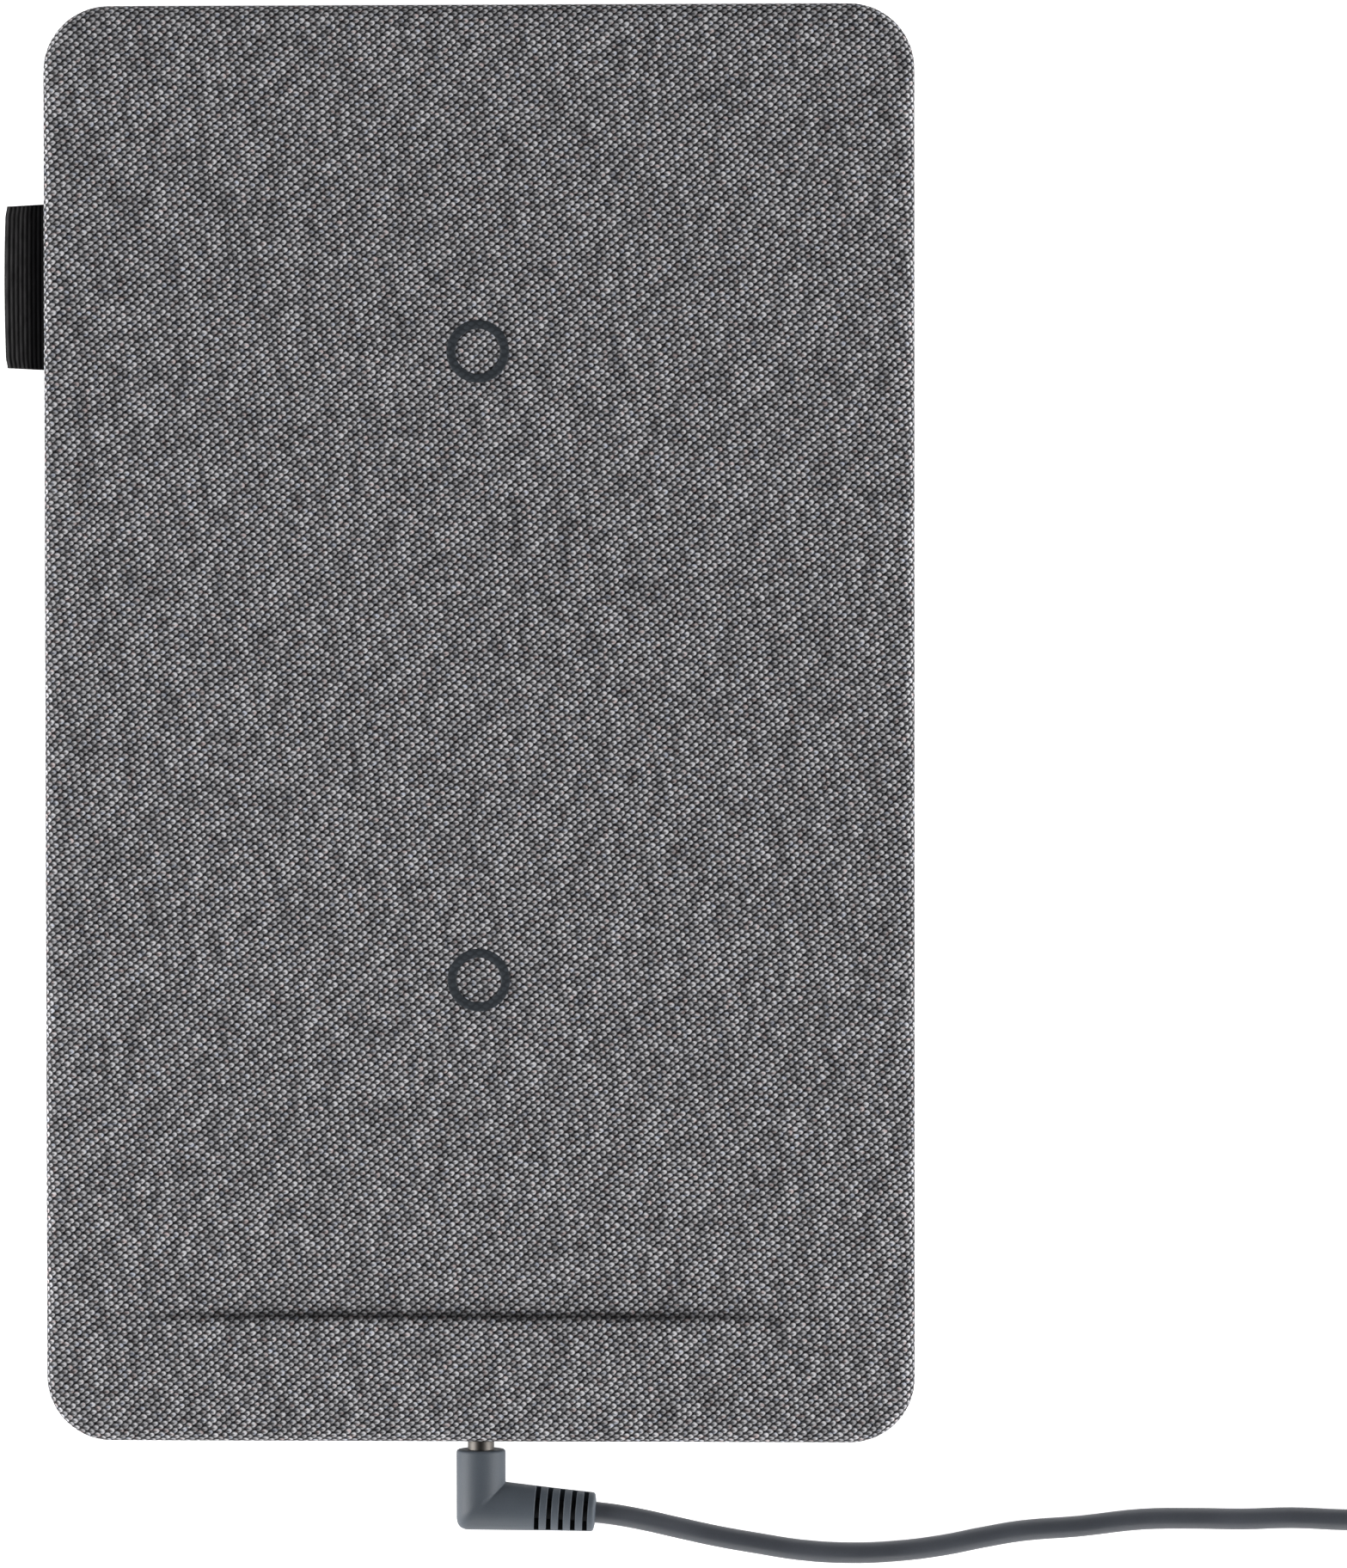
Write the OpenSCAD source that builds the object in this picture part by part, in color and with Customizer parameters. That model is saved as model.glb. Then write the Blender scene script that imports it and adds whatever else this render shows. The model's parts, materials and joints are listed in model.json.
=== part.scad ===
// Fabric-covered wireless charging pad with two charging spots, a power strip that the
// panel folds up from, and a right-angle DC lead to its wall adapter.
// The origin is the centre of the pad's underside, +Y runs away from the plug, +Z is up.

/* [Pad] */
// Width of the pad over its cover
pad_w = 180; // [150:1:220]
// Length of the pad from the plug edge to the far edge
pad_l = 297; // [290:1:330]
// Height of the top surface above the table
pad_t = 10.5; // [10.5:0.1:12]
// Radius of the four corners in plan
corner_r = 13.5; // [11:0.5:20]
// Easing of the top and bottom edges
edge_r = 2.6; // [2:0.1:3]

/* [Fold] */
// Depth of the power strip, from the plug edge to the crease
strip_l = 26; // [25:0.5:32]
// Depth of the crease below the top surface
crease_d = 1; // [0.6:0.1:1.2]
// Gap between the strip and the panel under the fabric
fold_gap = 0.6; // [0.4:0.1:1]

/* [Charging spots] */
// Centre of the front charging spot
front_y = -52.7; // [-60:0.1:-45]
// Centre of the rear charging spot
rear_y = 77; // [70:0.5:85]
// Outer diameter of the ring that marks a spot
marker_d = 13; // [10:0.5:20]
// Outer diameter of a charging coil
coil_d = 44; // [40:1:48]

/* [Plug and lead] */
// Outer diameter of the plug's sleeve
sleeve_d = 5.5; // [5.5:0.1:5.5]
// Diameter of the plug's overmould
grip_d = 10.2; // [9:0.1:10.2]
// Diameter of the lead
cord_d = 4.4; // [3.8:0.1:4.4]

/* [Hidden] */

$fn = 64;
eps = 0.05;       // sinks a cut past the face it opens
fit = 0.05;       // gap between nested shells
wall = 1.2;       // moulded walls, floor and top plate
skin = 0.8;       // cover fabric with its backing
cover_z = 0.4;    // the turned-under cover stops this high above the table
mat_t = 1.2;      // non-slip base mat
mat_inset = 7;    // border of turned-under cover round the mat

// Heights inside the pad
floor_z = cover_z + skin + fit;
cavity_z = floor_z + wall;
foam_top_z = pad_t - skin - fit;
foam_t = 0.85;
plate_z = foam_top_z - foam_t - wall;
axis_z = pad_t - crease_d;
fold_y = strip_l - pad_l / 2;
far = pad_l;

// Jack and plug
jack_z = 5.25;
jack_w = 9.4;
jack_h = 7.8;
jack_l = 11.6;
jack_inset = 3;                    // housing stands back from the edge behind its snout
snout_d = 7.4;
sleeve_l = 9.6;
tip_d = 3.9;                       // insulator round the plug's inner contact
inner_d = 2.7;
pin_d = 2;
contact_w = 2.4;
jack_bore_d = sleeve_d + 0.14;
edge_y = -pad_l / 2;
grip_y = edge_y - 1.9;             // face of the overmould, just clear of the pad
grip_center_y = grip_y - 11.5;     // where the two legs of the overmould cross
grip_lean = 3.5;                   // the cord leg runs a little away from the pad
grip_leg_l = 23.6;
grip_end_d = 8.1;
slot_count = 5;
slot_pitch = 2.5;
slot_w = 1.15;
slot_first_x = 11.8;
slot_floor = 0.7;                  // the slots leave a spine each side of the leg
slot_core_d = 5;

// Screws that join the shells
STRIP_SCREWS = [for (x = [-81, 81], y = [-141, -129.5]) [x, y]];
PANEL_SCREWS = [for (x = [-80, 80], y = [-112, -30, 52, 134]) [x, y]];
screw_r = 0.95;
head_r = 1.9;
head_h = 1.3;
boss_r = 3;
boss_split_z = 5.2;
pilot_h = boss_split_z + 0.8;

// Folded ribbon at the left edge
ribbon_l = 34;
ribbon_y = 73.7;
ribbon_out = 8.5;
ribbon_t = 1.6;
ribbon_z = 2.6;

// Board
board_t = 1.2;
board_z = 3.8;
board_top = board_z + board_t;
board_l = 20;
board_w = 150;
board_y = edge_y + 3.6;
flex_w = 16;
flex_t = 0.3;
flex_z = 6.9;

// Coils
frame_w = 54;
frame_top_z = 5;
ferrite_w = 50;
ferrite_t = 0.9;
coil_z = frame_top_z + ferrite_t;
coil_t = 1.3;
coil_hole_d = 20;
thermistor_r = 1.3;
thermistor_h = 1.2;
lead_w = 0.9;
lead_pitch = 1.2;
lead_gap = 0.3;
lead_z = coil_z + 0.15;
connector_end_y = fold_y + 12 + lead_gap;
spot_cut = 0.3;      // depth that a marker is set into the cover
marker_stroke = 1.9;

// Lead route on the table, from the overmould to the wound coil
r_cord = cord_d / 2;
lie_z = r_cord + 0.05;
ROUTE = [
    [23.4, -163.4, 5.2], [28, -164, 4.9], [34, -165.2, 4.05], [41, -166.9, 3.1], [49, -168.7, 2.5],
    [57.5, -170.2, lie_z], [66, -171.5, lie_z], [76, -172.1, lie_z], [86, -171.7, lie_z],
    [95.5, -170.5, lie_z], [104, -168.8, lie_z], [112, -167.4, lie_z], [124, -166.4, lie_z],
    [137, -164.9, lie_z], [148, -164.7, lie_z], [158, -164.8, lie_z], [168, -164.5, lie_z],
    [179, -164.9, lie_z], [193, -165, lie_z], [206, -165, lie_z]
];
wound_x = 220;
wound_y = -131.7;
wound_in = 13.5;
wound_out = 35.5;
wound_z = 0.6;
wound_h = 2 * cord_d;
TAIL = [
    [253.3, -128, 7.1], [254.2, -120, 7], [255, -112, 7], [255, -106, 7]
];
tie_w = 10;
tie_t = 0.6;

// Adapter
case_w = 40;
case_l = 62;
case_h = 27;
case_y = -84;
case_x = 255;
case_wall = 2;
case_edge = 3;
case_split = 36;
relief_l = 22;
relief_d = 7.6;
exit_z = 7;
blade_pitch = 12.7;
blade_w = 6.35;
blade_t = 1.5;
blade_l = 17;
inner_board = [32, 48, 1.6];       // board inside the case, and its height above the case's floor
inner_board_z = 5;
transformer = [16, 16, 14];
smoothing_r = 5;
smoothing_h = 14;
inner_top_z = inner_board_z + inner_board[2];

// Plan outline of the pad, drawn in by inset
module outline(inset = 0) {
    w = pad_w - 2 * inset;
    l = pad_l - 2 * inset;
    r = corner_r - inset;
    square([w, l - 2 * r], center = true);
    square([w - 2 * r, l], center = true);
    for (x = [-1, 1], y = [-1, 1])
        translate([x * (w / 2 - r), y * (l / 2 - r)])
            circle(r);
}

// Closed slab with eased edges, drawn in by inset from the cover's outer surface
module soft_slab(inset = 0) {
    e = edge_r - inset;
    ease = [[0, e], [0.3 * e, 0.3 * e], [e, 0]];
    hull()
        for (step = ease)
            translate([0, 0, cover_z + inset + step[1]])
                linear_extrude(pad_t - cover_z - 2 * (inset + step[1]))
                    outline(inset + step[0], $fn = 32);
}

// Everything on one side of the crease: side -1 is the strip, side 1 the panel
module zone(side, gap = fold_gap / 2, z0 = -1, z1 = 2 * pad_t) {
    y0 = side < 0 ? -far : fold_y + gap;
    y1 = side < 0 ? fold_y - gap : far;
    translate([-pad_w, y0, z0])
        cube([2 * pad_w, y1 - y0, z1 - z0]);
}

// Wedge that the crease takes out of the top surface, lowered by drop
module crease_wedge(drop = 0) {
    run_panel = 3.3 * crease_d;
    run_strip = 1.2 * crease_d;
    lift = 3;
    translate([-pad_w, 0, -drop])
        rotate([90, 0, 90])
            linear_extrude(2 * pad_w)
                polygon([
                    [fold_y, axis_z],
                    [fold_y + run_panel * lift, axis_z + crease_d * lift],
                    [fold_y - run_strip * lift, axis_z + crease_d * lift]
                ]);
}

// Outline of one side, with a margin at the crease as well
module zone_outline(side, inset, crease_inset) {
    intersection() {
        outline(inset);
        translate([-pad_w, side < 0 ? -far : fold_y + crease_inset])
            square([2 * pad_w, side < 0 ? fold_y - crease_inset + far : 2 * far]);
    }
}

// Box given by its centre in X, its low Y and Z, and its size
module block(x, y, z, size) {
    translate([x - size[0] / 2, y, z])
        cube(size);
}

// Room for the DC jack through floor, walls and plate
module jack_room(extra = 0.1) {
    block(0, edge_y + jack_inset - extra, jack_z - jack_h / 2 - extra,
        [jack_w + 2 * extra, jack_l + 2 * extra, jack_h + 2 * extra]);
    translate([0, edge_y - 1, jack_z])
        rotate([-90, 0, 0])
            cylinder(d = snout_d + 2 * extra, h = jack_inset + 2);
}

// Lower shell of one side with bosses for its screws
module tray(side, screws) {
    color("#3a3d41")
        difference() {
            union() {
                difference() {
                    intersection() {
                        soft_slab(skin + fit);
                        zone(side, z1 = plate_z);
                    }
                    translate([0, 0, cavity_z])
                        linear_extrude(pad_t)
                            zone_outline(side, skin + fit + wall, fold_gap / 2 + wall);
                }
                for (at = screws)
                    translate([at[0], at[1], cavity_z - eps])
                        cylinder(r = boss_r, h = boss_split_z - cavity_z + eps);
                children();
            }
            for (at = screws)
                translate([at[0], at[1], 0]) {
                    cylinder(r = screw_r + 0.25, h = pad_t);
                    cylinder(r = head_r + 0.2, h = floor_z + head_h + 0.2);
                }
            block(0, fold_y - 3, flex_z - 0.2, [flex_w + 1, 6, flex_t + 0.4]);
        }
}

// Top plate of one side with the bosses that its screws bite into
module plate(side, screws) {
    color("#3a3d41")
        difference() {
            union() {
                intersection() {
                    soft_slab(skin + fit);
                    zone(side, z0 = plate_z, z1 = plate_z + wall);
                }
                for (at = screws)
                    translate([at[0], at[1], boss_split_z])
                        cylinder(r = boss_r - 0.4, h = plate_z - boss_split_z + eps);
            }
            for (at = screws)
                translate([at[0], at[1], 0])
                    cylinder(r = screw_r + 0.02, h = plate_z + wall / 2);
            crease_wedge(skin + fit + foam_t);
        }
}

// Thin foam that gives the top its soft feel
module foam(side) {
    color("#26282b")
        difference() {
            intersection() {
                soft_slab(skin + fit);
                zone(side, z0 = plate_z + wall, z1 = pad_t);
            }
            crease_wedge(skin + fit);
        }
}

// Fabric cover of one side, turned under along its outer edges
module cover(side) {
    color("#6a6a6c")
        difference() {
            intersection() {
                soft_slab();
                zone(side);
            }
            crease_wedge();
            difference() {
                soft_slab(skin);
                crease_wedge(skin);
            }
            linear_extrude(floor_z)
                outline(mat_inset - 0.1);
            children();
        }
}

// Non-slip sheet that closes the underside and hides the screws
module base_mat(side) {
    color("#1f2022")
        linear_extrude(mat_t)
            zone_outline(side, mat_inset, fold_gap / 2 + 0.4);
}

// Self-tapping screws with cross recesses, heads in the tray
module screws(places) {
    color("#8d9094")
        for (at = places)
            translate([at[0], at[1], floor_z + 0.2])
                difference() {
                    union() {
                        cylinder(r = head_r, h = head_h);
                        cylinder(r = screw_r, h = pilot_h - 0.3);
                    }
                    for (turn = [0, 90])
                        rotate([0, 0, turn])
                            block(0, -1, -eps, [0.4, 2, 0.7]);
                }
}

module strip_tray() {
    difference() {
        tray(-1, STRIP_SCREWS)
            for (x = [-70, -40, 40, 70])
                block(x, board_y, cavity_z - eps, [3, board_l, board_z - cavity_z + eps]);
        jack_room();
    }
}

module strip_plate() {
    difference() {
        plate(-1, STRIP_SCREWS);
        jack_room();
    }
}

module strip_foam() {
    difference() {
        foam(-1);
        jack_room();
    }
}

module strip_cover() {
    cover(-1)
        translate([0, edge_y - 1, jack_z])
            rotate([-90, 0, 0])
                cylinder(d = snout_d + 0.2, h = 4);
}

module strip_base_mat() {
    base_mat(-1);
}

module strip_screws() {
    screws(STRIP_SCREWS);
}

module main_board() {
    color("#1d5a3a")
        difference() {
            block(0, board_y, board_z, [board_w, board_l, board_t]);
            block(0, board_y - 1, board_z - 1, [jack_w + 1, jack_l + 0.9, board_t + 2]);
        }
}

module control_chip() {
    color("#202224")
        block(-22, board_y + 6, board_top, [8, 8, 1.2]);
}

module driver_chips() {
    color("#202224")
        for (x = [-46, 46])
            block(x, board_y + 7, board_top, [6, 6, 1]);
}

module power_inductors() {
    color("#4a4b4d")
        for (x = [-60, 60])
            block(x, board_y + 6, board_top, [7, 7, 2.2]);
}

module resonance_capacitors() {
    color("#b8893c")
        for (x = [24, 30, 36], y = [4, 11])
            block(x, board_y + y, board_top, [3.6, 4.8, 2]);
}

module board_connector() {
    color("#d8d4c6")
        block(0, board_y + board_l - 5, board_top, [flex_w + 3, 4, flex_z - board_top]);
}

module strip_flex() {
    color("#b5722a")
        block(0, board_y + board_l - 5, flex_z,
            [flex_w, fold_y - fold_gap / 2 - board_y - board_l + 5, flex_t]);
}

module jack_housing() {
    color("#161718")
        difference() {
            union() {
                block(0, edge_y + jack_inset, jack_z - jack_h / 2, [jack_w, jack_l, jack_h]);
                translate([0, edge_y + 0.1, jack_z])
                    rotate([-90, 0, 0])
                        cylinder(d = snout_d, h = jack_inset);
            }
            translate([0, edge_y - 1, jack_z])
                rotate([-90, 0, 0])
                    cylinder(d = jack_bore_d, h = 12);
            translate([0, edge_y, jack_z])
                rotate([-90, 0, 0])
                    cylinder(d = pin_d, h = jack_inset + jack_l + 1);
            block(0, edge_y + 6, jack_z - jack_h / 2 - eps, [contact_w, 6, jack_h / 2]);
        }
}

module jack_center_pin() {
    color("#c9c2b0")
        translate([0, edge_y + jack_inset, jack_z])
            rotate([-90, 0, 0])
                cylinder(d = pin_d, h = jack_l);
}

module jack_spring_contact() {
    color("#c9c2b0")
        block(0, edge_y + 6.4, jack_z - sleeve_d / 2 - 0.5, [contact_w, 5, 0.4]);
}

module panel_tray() {
    rib_t = 1;
    rib_h = 2.4;
    tray(1, PANEL_SCREWS) {
        for (x = [-46, 46])
            block(x, fold_y + 4, cavity_z - eps, [rib_t, pad_l - strip_l - 9, rib_h]);
        for (y = [-98, 12, 122])
            block(0, y, cavity_z - eps, [pad_w - 8, rib_t, rib_h]);
    }
}

module panel_plate() {
    plate(1, PANEL_SCREWS);
}

module panel_foam() {
    foam(1);
}

// Ring-shaped seat of one marker in the cover
module marker_ring(y, extra = 0) {
    translate([0, y, pad_t - spot_cut - extra])
        difference() {
            cylinder(d = marker_d + 2 * extra, h = spot_cut + 2 * extra);
            translate([0, 0, -eps])
                cylinder(d = marker_d - 2 * marker_stroke - 2 * extra, h = spot_cut + 1);
        }
}

module panel_cover() {
    cover(1) {
        marker_ring(front_y, 0.02);
        marker_ring(rear_y, 0.02);
        ribbon_solid(0.1);
    }
}

module panel_base_mat() {
    base_mat(1);
}

module panel_screws() {
    screws(PANEL_SCREWS);
}

module panel_connector() {
    color("#d8d4c6")
        block(0, fold_y + 6, cavity_z, [flex_w + 3, 6, flex_z - cavity_z]);
}

module panel_flex() {
    color("#b5722a")
        block(0, fold_y + fold_gap / 2, flex_z, [flex_w, 12 - fold_gap / 2, flex_t]);
}

// Folded ribbon, from the tray wall out through the side of the cover
module ribbon_solid(extra = 0) {
    reach = ribbon_out + skin;
    translate([-pad_w / 2 - ribbon_out, ribbon_y - extra, ribbon_z - extra])
        cube([reach + extra, ribbon_l + 2 * extra, ribbon_t + 2 * extra]);
}

module ribbon_label() {
    color("#17181a")
        ribbon_solid();
}

// Square seat that holds one ferrite and coil off the tray floor
module coil_frame(y) {
    color("#8b8e92")
        translate([0, y, cavity_z])
            difference() {
                translate([-frame_w / 2, -frame_w / 2, 0])
                    cube([frame_w, frame_w, frame_top_z - cavity_z]);
                translate([0, 0, -1])
                    cylinder(d = frame_w - 10, h = frame_top_z);
            }
}

module ferrite(y) {
    color("#2c2a2b")
        translate([0, y, frame_top_z])
            linear_extrude(ferrite_t) {
                square([ferrite_w, ferrite_w - 6], center = true);
                square([ferrite_w - 6, ferrite_w], center = true);
                for (a = [-1, 1], b = [-1, 1])
                    translate([a, b] * (ferrite_w / 2 - 3))
                        circle(3);
            }
}

// Flat winding of litz wire, one groove between each two turns
module litz_coil(y) {
    turns = 11;
    r_in = coil_hole_d / 2;
    pitch = (coil_d - coil_hole_d) / 2 / turns;
    groove = 0.35;
    color("#b87333")
        translate([0, y, coil_z])
            rotate_extrude()
                polygon(concat(
                    [[coil_d / 2, 0], [r_in, 0]],
                    [for (i = [0:turns - 1], s = [0.08, 0.25, 0.75, 0.92])
                        [r_in + (i + s) * pitch, coil_t - (abs(s - 0.5) > 0.3 ? groove : 0)]]
                ));
}

module thermistor(y) {
    color("#2f6f8f")
        translate([0, y, coil_z])
            cylinder(r = thermistor_r, h = thermistor_h);
}

// Direction of a route at point i
function heading(p, i) = p[min(i + 1, len(p) - 1)] - p[max(i - 1, 0)];

// Point beside plan point i, off to its left by reach
function beside(p, i, reach) =
    let(d = heading(p, i) / norm(heading(p, i)))
    p[i] + reach * [-d[1], d[0]];

// Flat lead through a list of plan points, one width thick
module lead(p, w) {
    n = len(p);
    linear_extrude(w)
        polygon(concat(
            [for (i = [0:n - 1]) beside(p, i, w / 2)],
            [for (i = [n - 1:-1:0]) beside(p, i, -w / 2)]
        ));
}

// Pair of leads from a coil to the panel's connector
module coil_leads(points) {
    color("#c98a4b")
        for (side = [-1, 1])
            translate([side * lead_pitch, 0, lead_z])
                lead(points, lead_w);
}

module front_coil_leads() {
    coil_leads([
        [-4, front_y - coil_d / 2 - lead_gap], [-4, connector_end_y]
    ]);
}

module rear_coil_leads() {
    aside = frame_w / 2 + 4;
    coil_leads([
        [4, rear_y - coil_d / 2 - lead_gap], [aside, rear_y - 40],
        [aside, front_y - 35], [4, connector_end_y]
    ]);
}

module marker(y) {
    color("#33383d")
        marker_ring(y);
}

module plug_sleeve() {
    color("#b9b2a3")
        translate([0, grip_y, jack_z])
            rotate([-90, 0, 0])
                difference() {
                    cylinder(d = sleeve_d, h = sleeve_l);
                    translate([0, 0, -eps])
                        cylinder(d = tip_d, h = sleeve_l + 1);
                }
}

module plug_insulator() {
    color("#18191b")
        translate([0, grip_y, jack_z])
            rotate([-90, 0, 0])
                difference() {
                    cylinder(d = tip_d, h = sleeve_l + 0.2);
                    translate([0, 0, -eps])
                        cylinder(d = inner_d, h = sleeve_l + 1);
                }
}

module plug_contact() {
    color("#c9c2b0")
        translate([0, grip_y, jack_z])
            rotate([-90, 0, 0])
                difference() {
                    cylinder(d = inner_d, h = sleeve_l - 0.6);
                    translate([0, 0, -eps])
                        cylinder(d = pin_d + 0.1, h = sleeve_l + 1);
                }
}

// Right-angle overmould: two legs mitred at the corner, slots in the cord leg
module plug_overmold() {
    reach = 40;
    color("#4b5159")
        difference() {
            union() {
                intersection() {
                    translate([0, grip_y, jack_z])
                        rotate([90, 0, 0])
                            cylinder(d = grip_d, h = grip_y - grip_center_y + grip_d / 2);
                    translate([0, grip_center_y, 0])
                        rotate([0, 0, 45])
                            translate([-reach, 0, -reach])
                                cube([2 * reach, reach, 2 * reach]);
                }
                intersection() {
                    translate([0, grip_center_y, jack_z])
                        rotate([0, 0, -grip_lean])
                            rotate([0, 90, 0])
                                translate([0, 0, -grip_d / 2])
                                    cylinder(d1 = grip_d, d2 = grip_end_d, h = grip_leg_l + grip_d / 2);
                    translate([0, grip_center_y, 0])
                        rotate([0, 0, 45])
                            translate([-reach, -reach, -reach])
                                cube([2 * reach, reach, 2 * reach]);
                }
            }
            for (i = [0:slot_count - 1], side = [0, 1])
                translate([slot_first_x + i * slot_pitch, grip_center_y, jack_z])
                    rotate([180 * side, 0, 0])
                        rotate([0, 0, grip_lean * (2 * side - 1)])
                            grip_slot();
        }
}

// One slot of the cord leg, from its outside down to the solid core
module grip_slot() {
    reach = 10;
    difference() {
        block(0, -reach, slot_floor, [slot_w, 2 * reach, reach]);
        translate([-reach, 0, 0])
            rotate([0, 90, 0])
                cylinder(d = slot_core_d, h = 2 * reach);
    }
}

// Ring of sides points about route point i
function ring(p, i, r, sides) =
    let(d = heading(p, i) / norm(heading(p, i)),
        across = cross([0, 0, 1], d) / norm(cross([0, 0, 1], d)),
        up = cross(d, across))
    [for (k = [0:sides - 1]) p[i] + r * (cos(360 * k / sides) * across + sin(360 * k / sides) * up)];

// Closed tube swept along a route
module tube(p, r, sides) {
    n = len(p);
    rings = [for (i = [0:n - 1], q = ring(p, i, r, sides)) q];
    side_faces = [for (i = [0:n - 2], k = [0:sides - 1])
        let(a = i * sides + k, b = i * sides + (k + 1) % sides)
        for (f = [[a, b, b + sides], [a, b + sides, a + sides]]) [f[2], f[1], f[0]]];
    start_face = [for (k = [0:sides - 1]) k];
    end_face = [for (k = [sides - 1:-1:0]) (n - 1) * sides + k];
    polyhedron(rings, concat(side_faces, [start_face, end_face]));
}

module cord_run() {
    color("#4b5159")
        tube(ROUTE, r_cord, 10);
}

module cord_coil() {
    color("#4b5159")
        translate([wound_x, wound_y, wound_z])
            rotate_extrude()
                translate([wound_in, 0])
                    square([wound_out - wound_in, wound_h]);
}

module cord_tail() {
    color("#4b5159")
        tube(TAIL, r_cord, 10);
}

// Strap round the winding's section
module cord_tie() {
    color("#1a1b1d")
        difference() {
            block(wound_x - (wound_in + wound_out) / 2, wound_y - tie_w / 2, wound_z - tie_t,
                [wound_out - wound_in + 2 * tie_t + 0.8, tie_w, wound_h + 2 * tie_t]);
            translate([wound_x, wound_y, wound_z])
                rotate_extrude()
                    translate([wound_in - 0.4, 0])
                        square([wound_out - wound_in + 0.8, wound_h]);
        }
}

module adapter_strain_relief() {
    color("#26282b")
        translate([case_x, case_y, exit_z])
            rotate([90, 0, 0])
                cylinder(d1 = relief_d, d2 = cord_d + 1.2, h = relief_l);
}

// Solid of the adapter's case between two distances along it, drawn in by inset
module case_solid(y0, y1, inset = 0) {
    e = case_edge - inset / 2;
    intersection() {
        hull()
            for (ease = [[0, e], [0.3 * e, 0.3 * e], [e, 0]]) {
                in_x = inset + ease[0];
                in_z = inset + ease[1];
                translate([case_x - case_w / 2 + in_x, case_y + inset, in_z])
                    cube([case_w - 2 * in_x, case_l - 2 * inset, case_h - 2 * in_z]);
            }
        translate([case_x - case_w, case_y + y0, -1])
            cube([2 * case_w, y1 - y0, case_h + 2]);
    }
}

module adapter_case_rear() {
    color("#26282b")
        difference() {
            case_solid(0, case_split);
            case_solid(case_wall, case_split + 1, case_wall);
        }
}

module adapter_case_front() {
    color("#26282b")
        difference() {
            case_solid(case_split + 0.1, case_l);
            case_solid(case_split - 1, case_l - case_wall, case_wall);
            for (x = [-1, 1])
                translate([x * blade_pitch / 2, 0, 0])
                    block(case_x, case_y + case_l - 4, case_h / 2 - blade_w / 2, [blade_t, 8, blade_w]);
        }
}

module adapter_blades() {
    color("#c7c4bb")
        for (x = [-1, 1])
            translate([x * blade_pitch / 2, 0, 0])
                block(case_x, case_y + case_l - 6, case_h / 2 - blade_w / 2, [blade_t, blade_l + 6, blade_w]);
}

module adapter_board() {
    color("#1d5a3a")
        block(case_x, case_y + 6, inner_board_z, inner_board);
}

module adapter_transformer() {
    color("#d9b23c")
        block(case_x - 5, case_y + 24, inner_top_z, transformer);
}

module adapter_capacitor() {
    color("#2b3a55")
        translate([case_x + 9, case_y + 16, inner_top_z])
            cylinder(r = smoothing_r, h = smoothing_h);
}

strip_tray();
strip_plate();
strip_foam();
strip_cover();
strip_base_mat();
strip_screws();
main_board();
control_chip();
driver_chips();
power_inductors();
resonance_capacitors();
board_connector();
strip_flex();
jack_housing();
jack_center_pin();
jack_spring_contact();
panel_tray();
panel_plate();
panel_foam();
panel_cover();
panel_base_mat();
panel_screws();
panel_connector();
panel_flex();
ribbon_label();
coil_frame(front_y);  // front_coil_frame
ferrite(front_y);  // front_ferrite
litz_coil(front_y);  // front_coil
thermistor(front_y);  // front_thermistor
front_coil_leads();
marker(front_y);  // front_marker
coil_frame(rear_y);  // rear_coil_frame
ferrite(rear_y);  // rear_ferrite
litz_coil(rear_y);  // rear_coil
thermistor(rear_y);  // rear_thermistor
rear_coil_leads();
marker(rear_y);  // rear_marker
plug_sleeve();
plug_insulator();
plug_contact();
plug_overmold();
cord_run();
cord_coil();
cord_tail();
cord_tie();
adapter_strain_relief();
adapter_case_rear();
adapter_case_front();
adapter_blades();
adapter_board();
adapter_transformer();
adapter_capacitor();
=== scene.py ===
"""Looks of the fabric-covered wireless charging pad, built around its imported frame."""

import json
import math

import bmesh
import bpy
from mathutils import Matrix, Vector, noise


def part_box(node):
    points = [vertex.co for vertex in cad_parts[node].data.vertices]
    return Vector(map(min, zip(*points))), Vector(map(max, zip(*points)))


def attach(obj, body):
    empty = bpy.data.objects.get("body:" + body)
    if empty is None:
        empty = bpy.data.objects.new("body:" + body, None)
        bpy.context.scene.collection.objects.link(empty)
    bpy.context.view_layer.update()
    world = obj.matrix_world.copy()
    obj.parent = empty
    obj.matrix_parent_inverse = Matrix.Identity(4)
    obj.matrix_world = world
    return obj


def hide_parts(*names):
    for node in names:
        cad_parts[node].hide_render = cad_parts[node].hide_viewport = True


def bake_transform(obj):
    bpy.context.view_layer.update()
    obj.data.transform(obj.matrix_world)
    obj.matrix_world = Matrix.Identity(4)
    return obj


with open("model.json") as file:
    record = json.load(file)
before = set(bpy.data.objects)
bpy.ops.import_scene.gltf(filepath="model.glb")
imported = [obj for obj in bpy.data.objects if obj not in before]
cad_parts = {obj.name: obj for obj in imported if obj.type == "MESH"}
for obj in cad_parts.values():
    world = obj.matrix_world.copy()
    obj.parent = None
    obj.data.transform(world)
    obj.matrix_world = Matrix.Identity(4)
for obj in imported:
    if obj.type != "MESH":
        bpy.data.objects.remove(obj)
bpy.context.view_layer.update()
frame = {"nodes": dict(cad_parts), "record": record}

MM = 0.001

# The cover's two boxes in the frame, in metres
STRIP_LO, STRIP_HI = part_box("strip_cover")
PANEL_LO, PANEL_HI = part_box("panel_cover")
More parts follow.
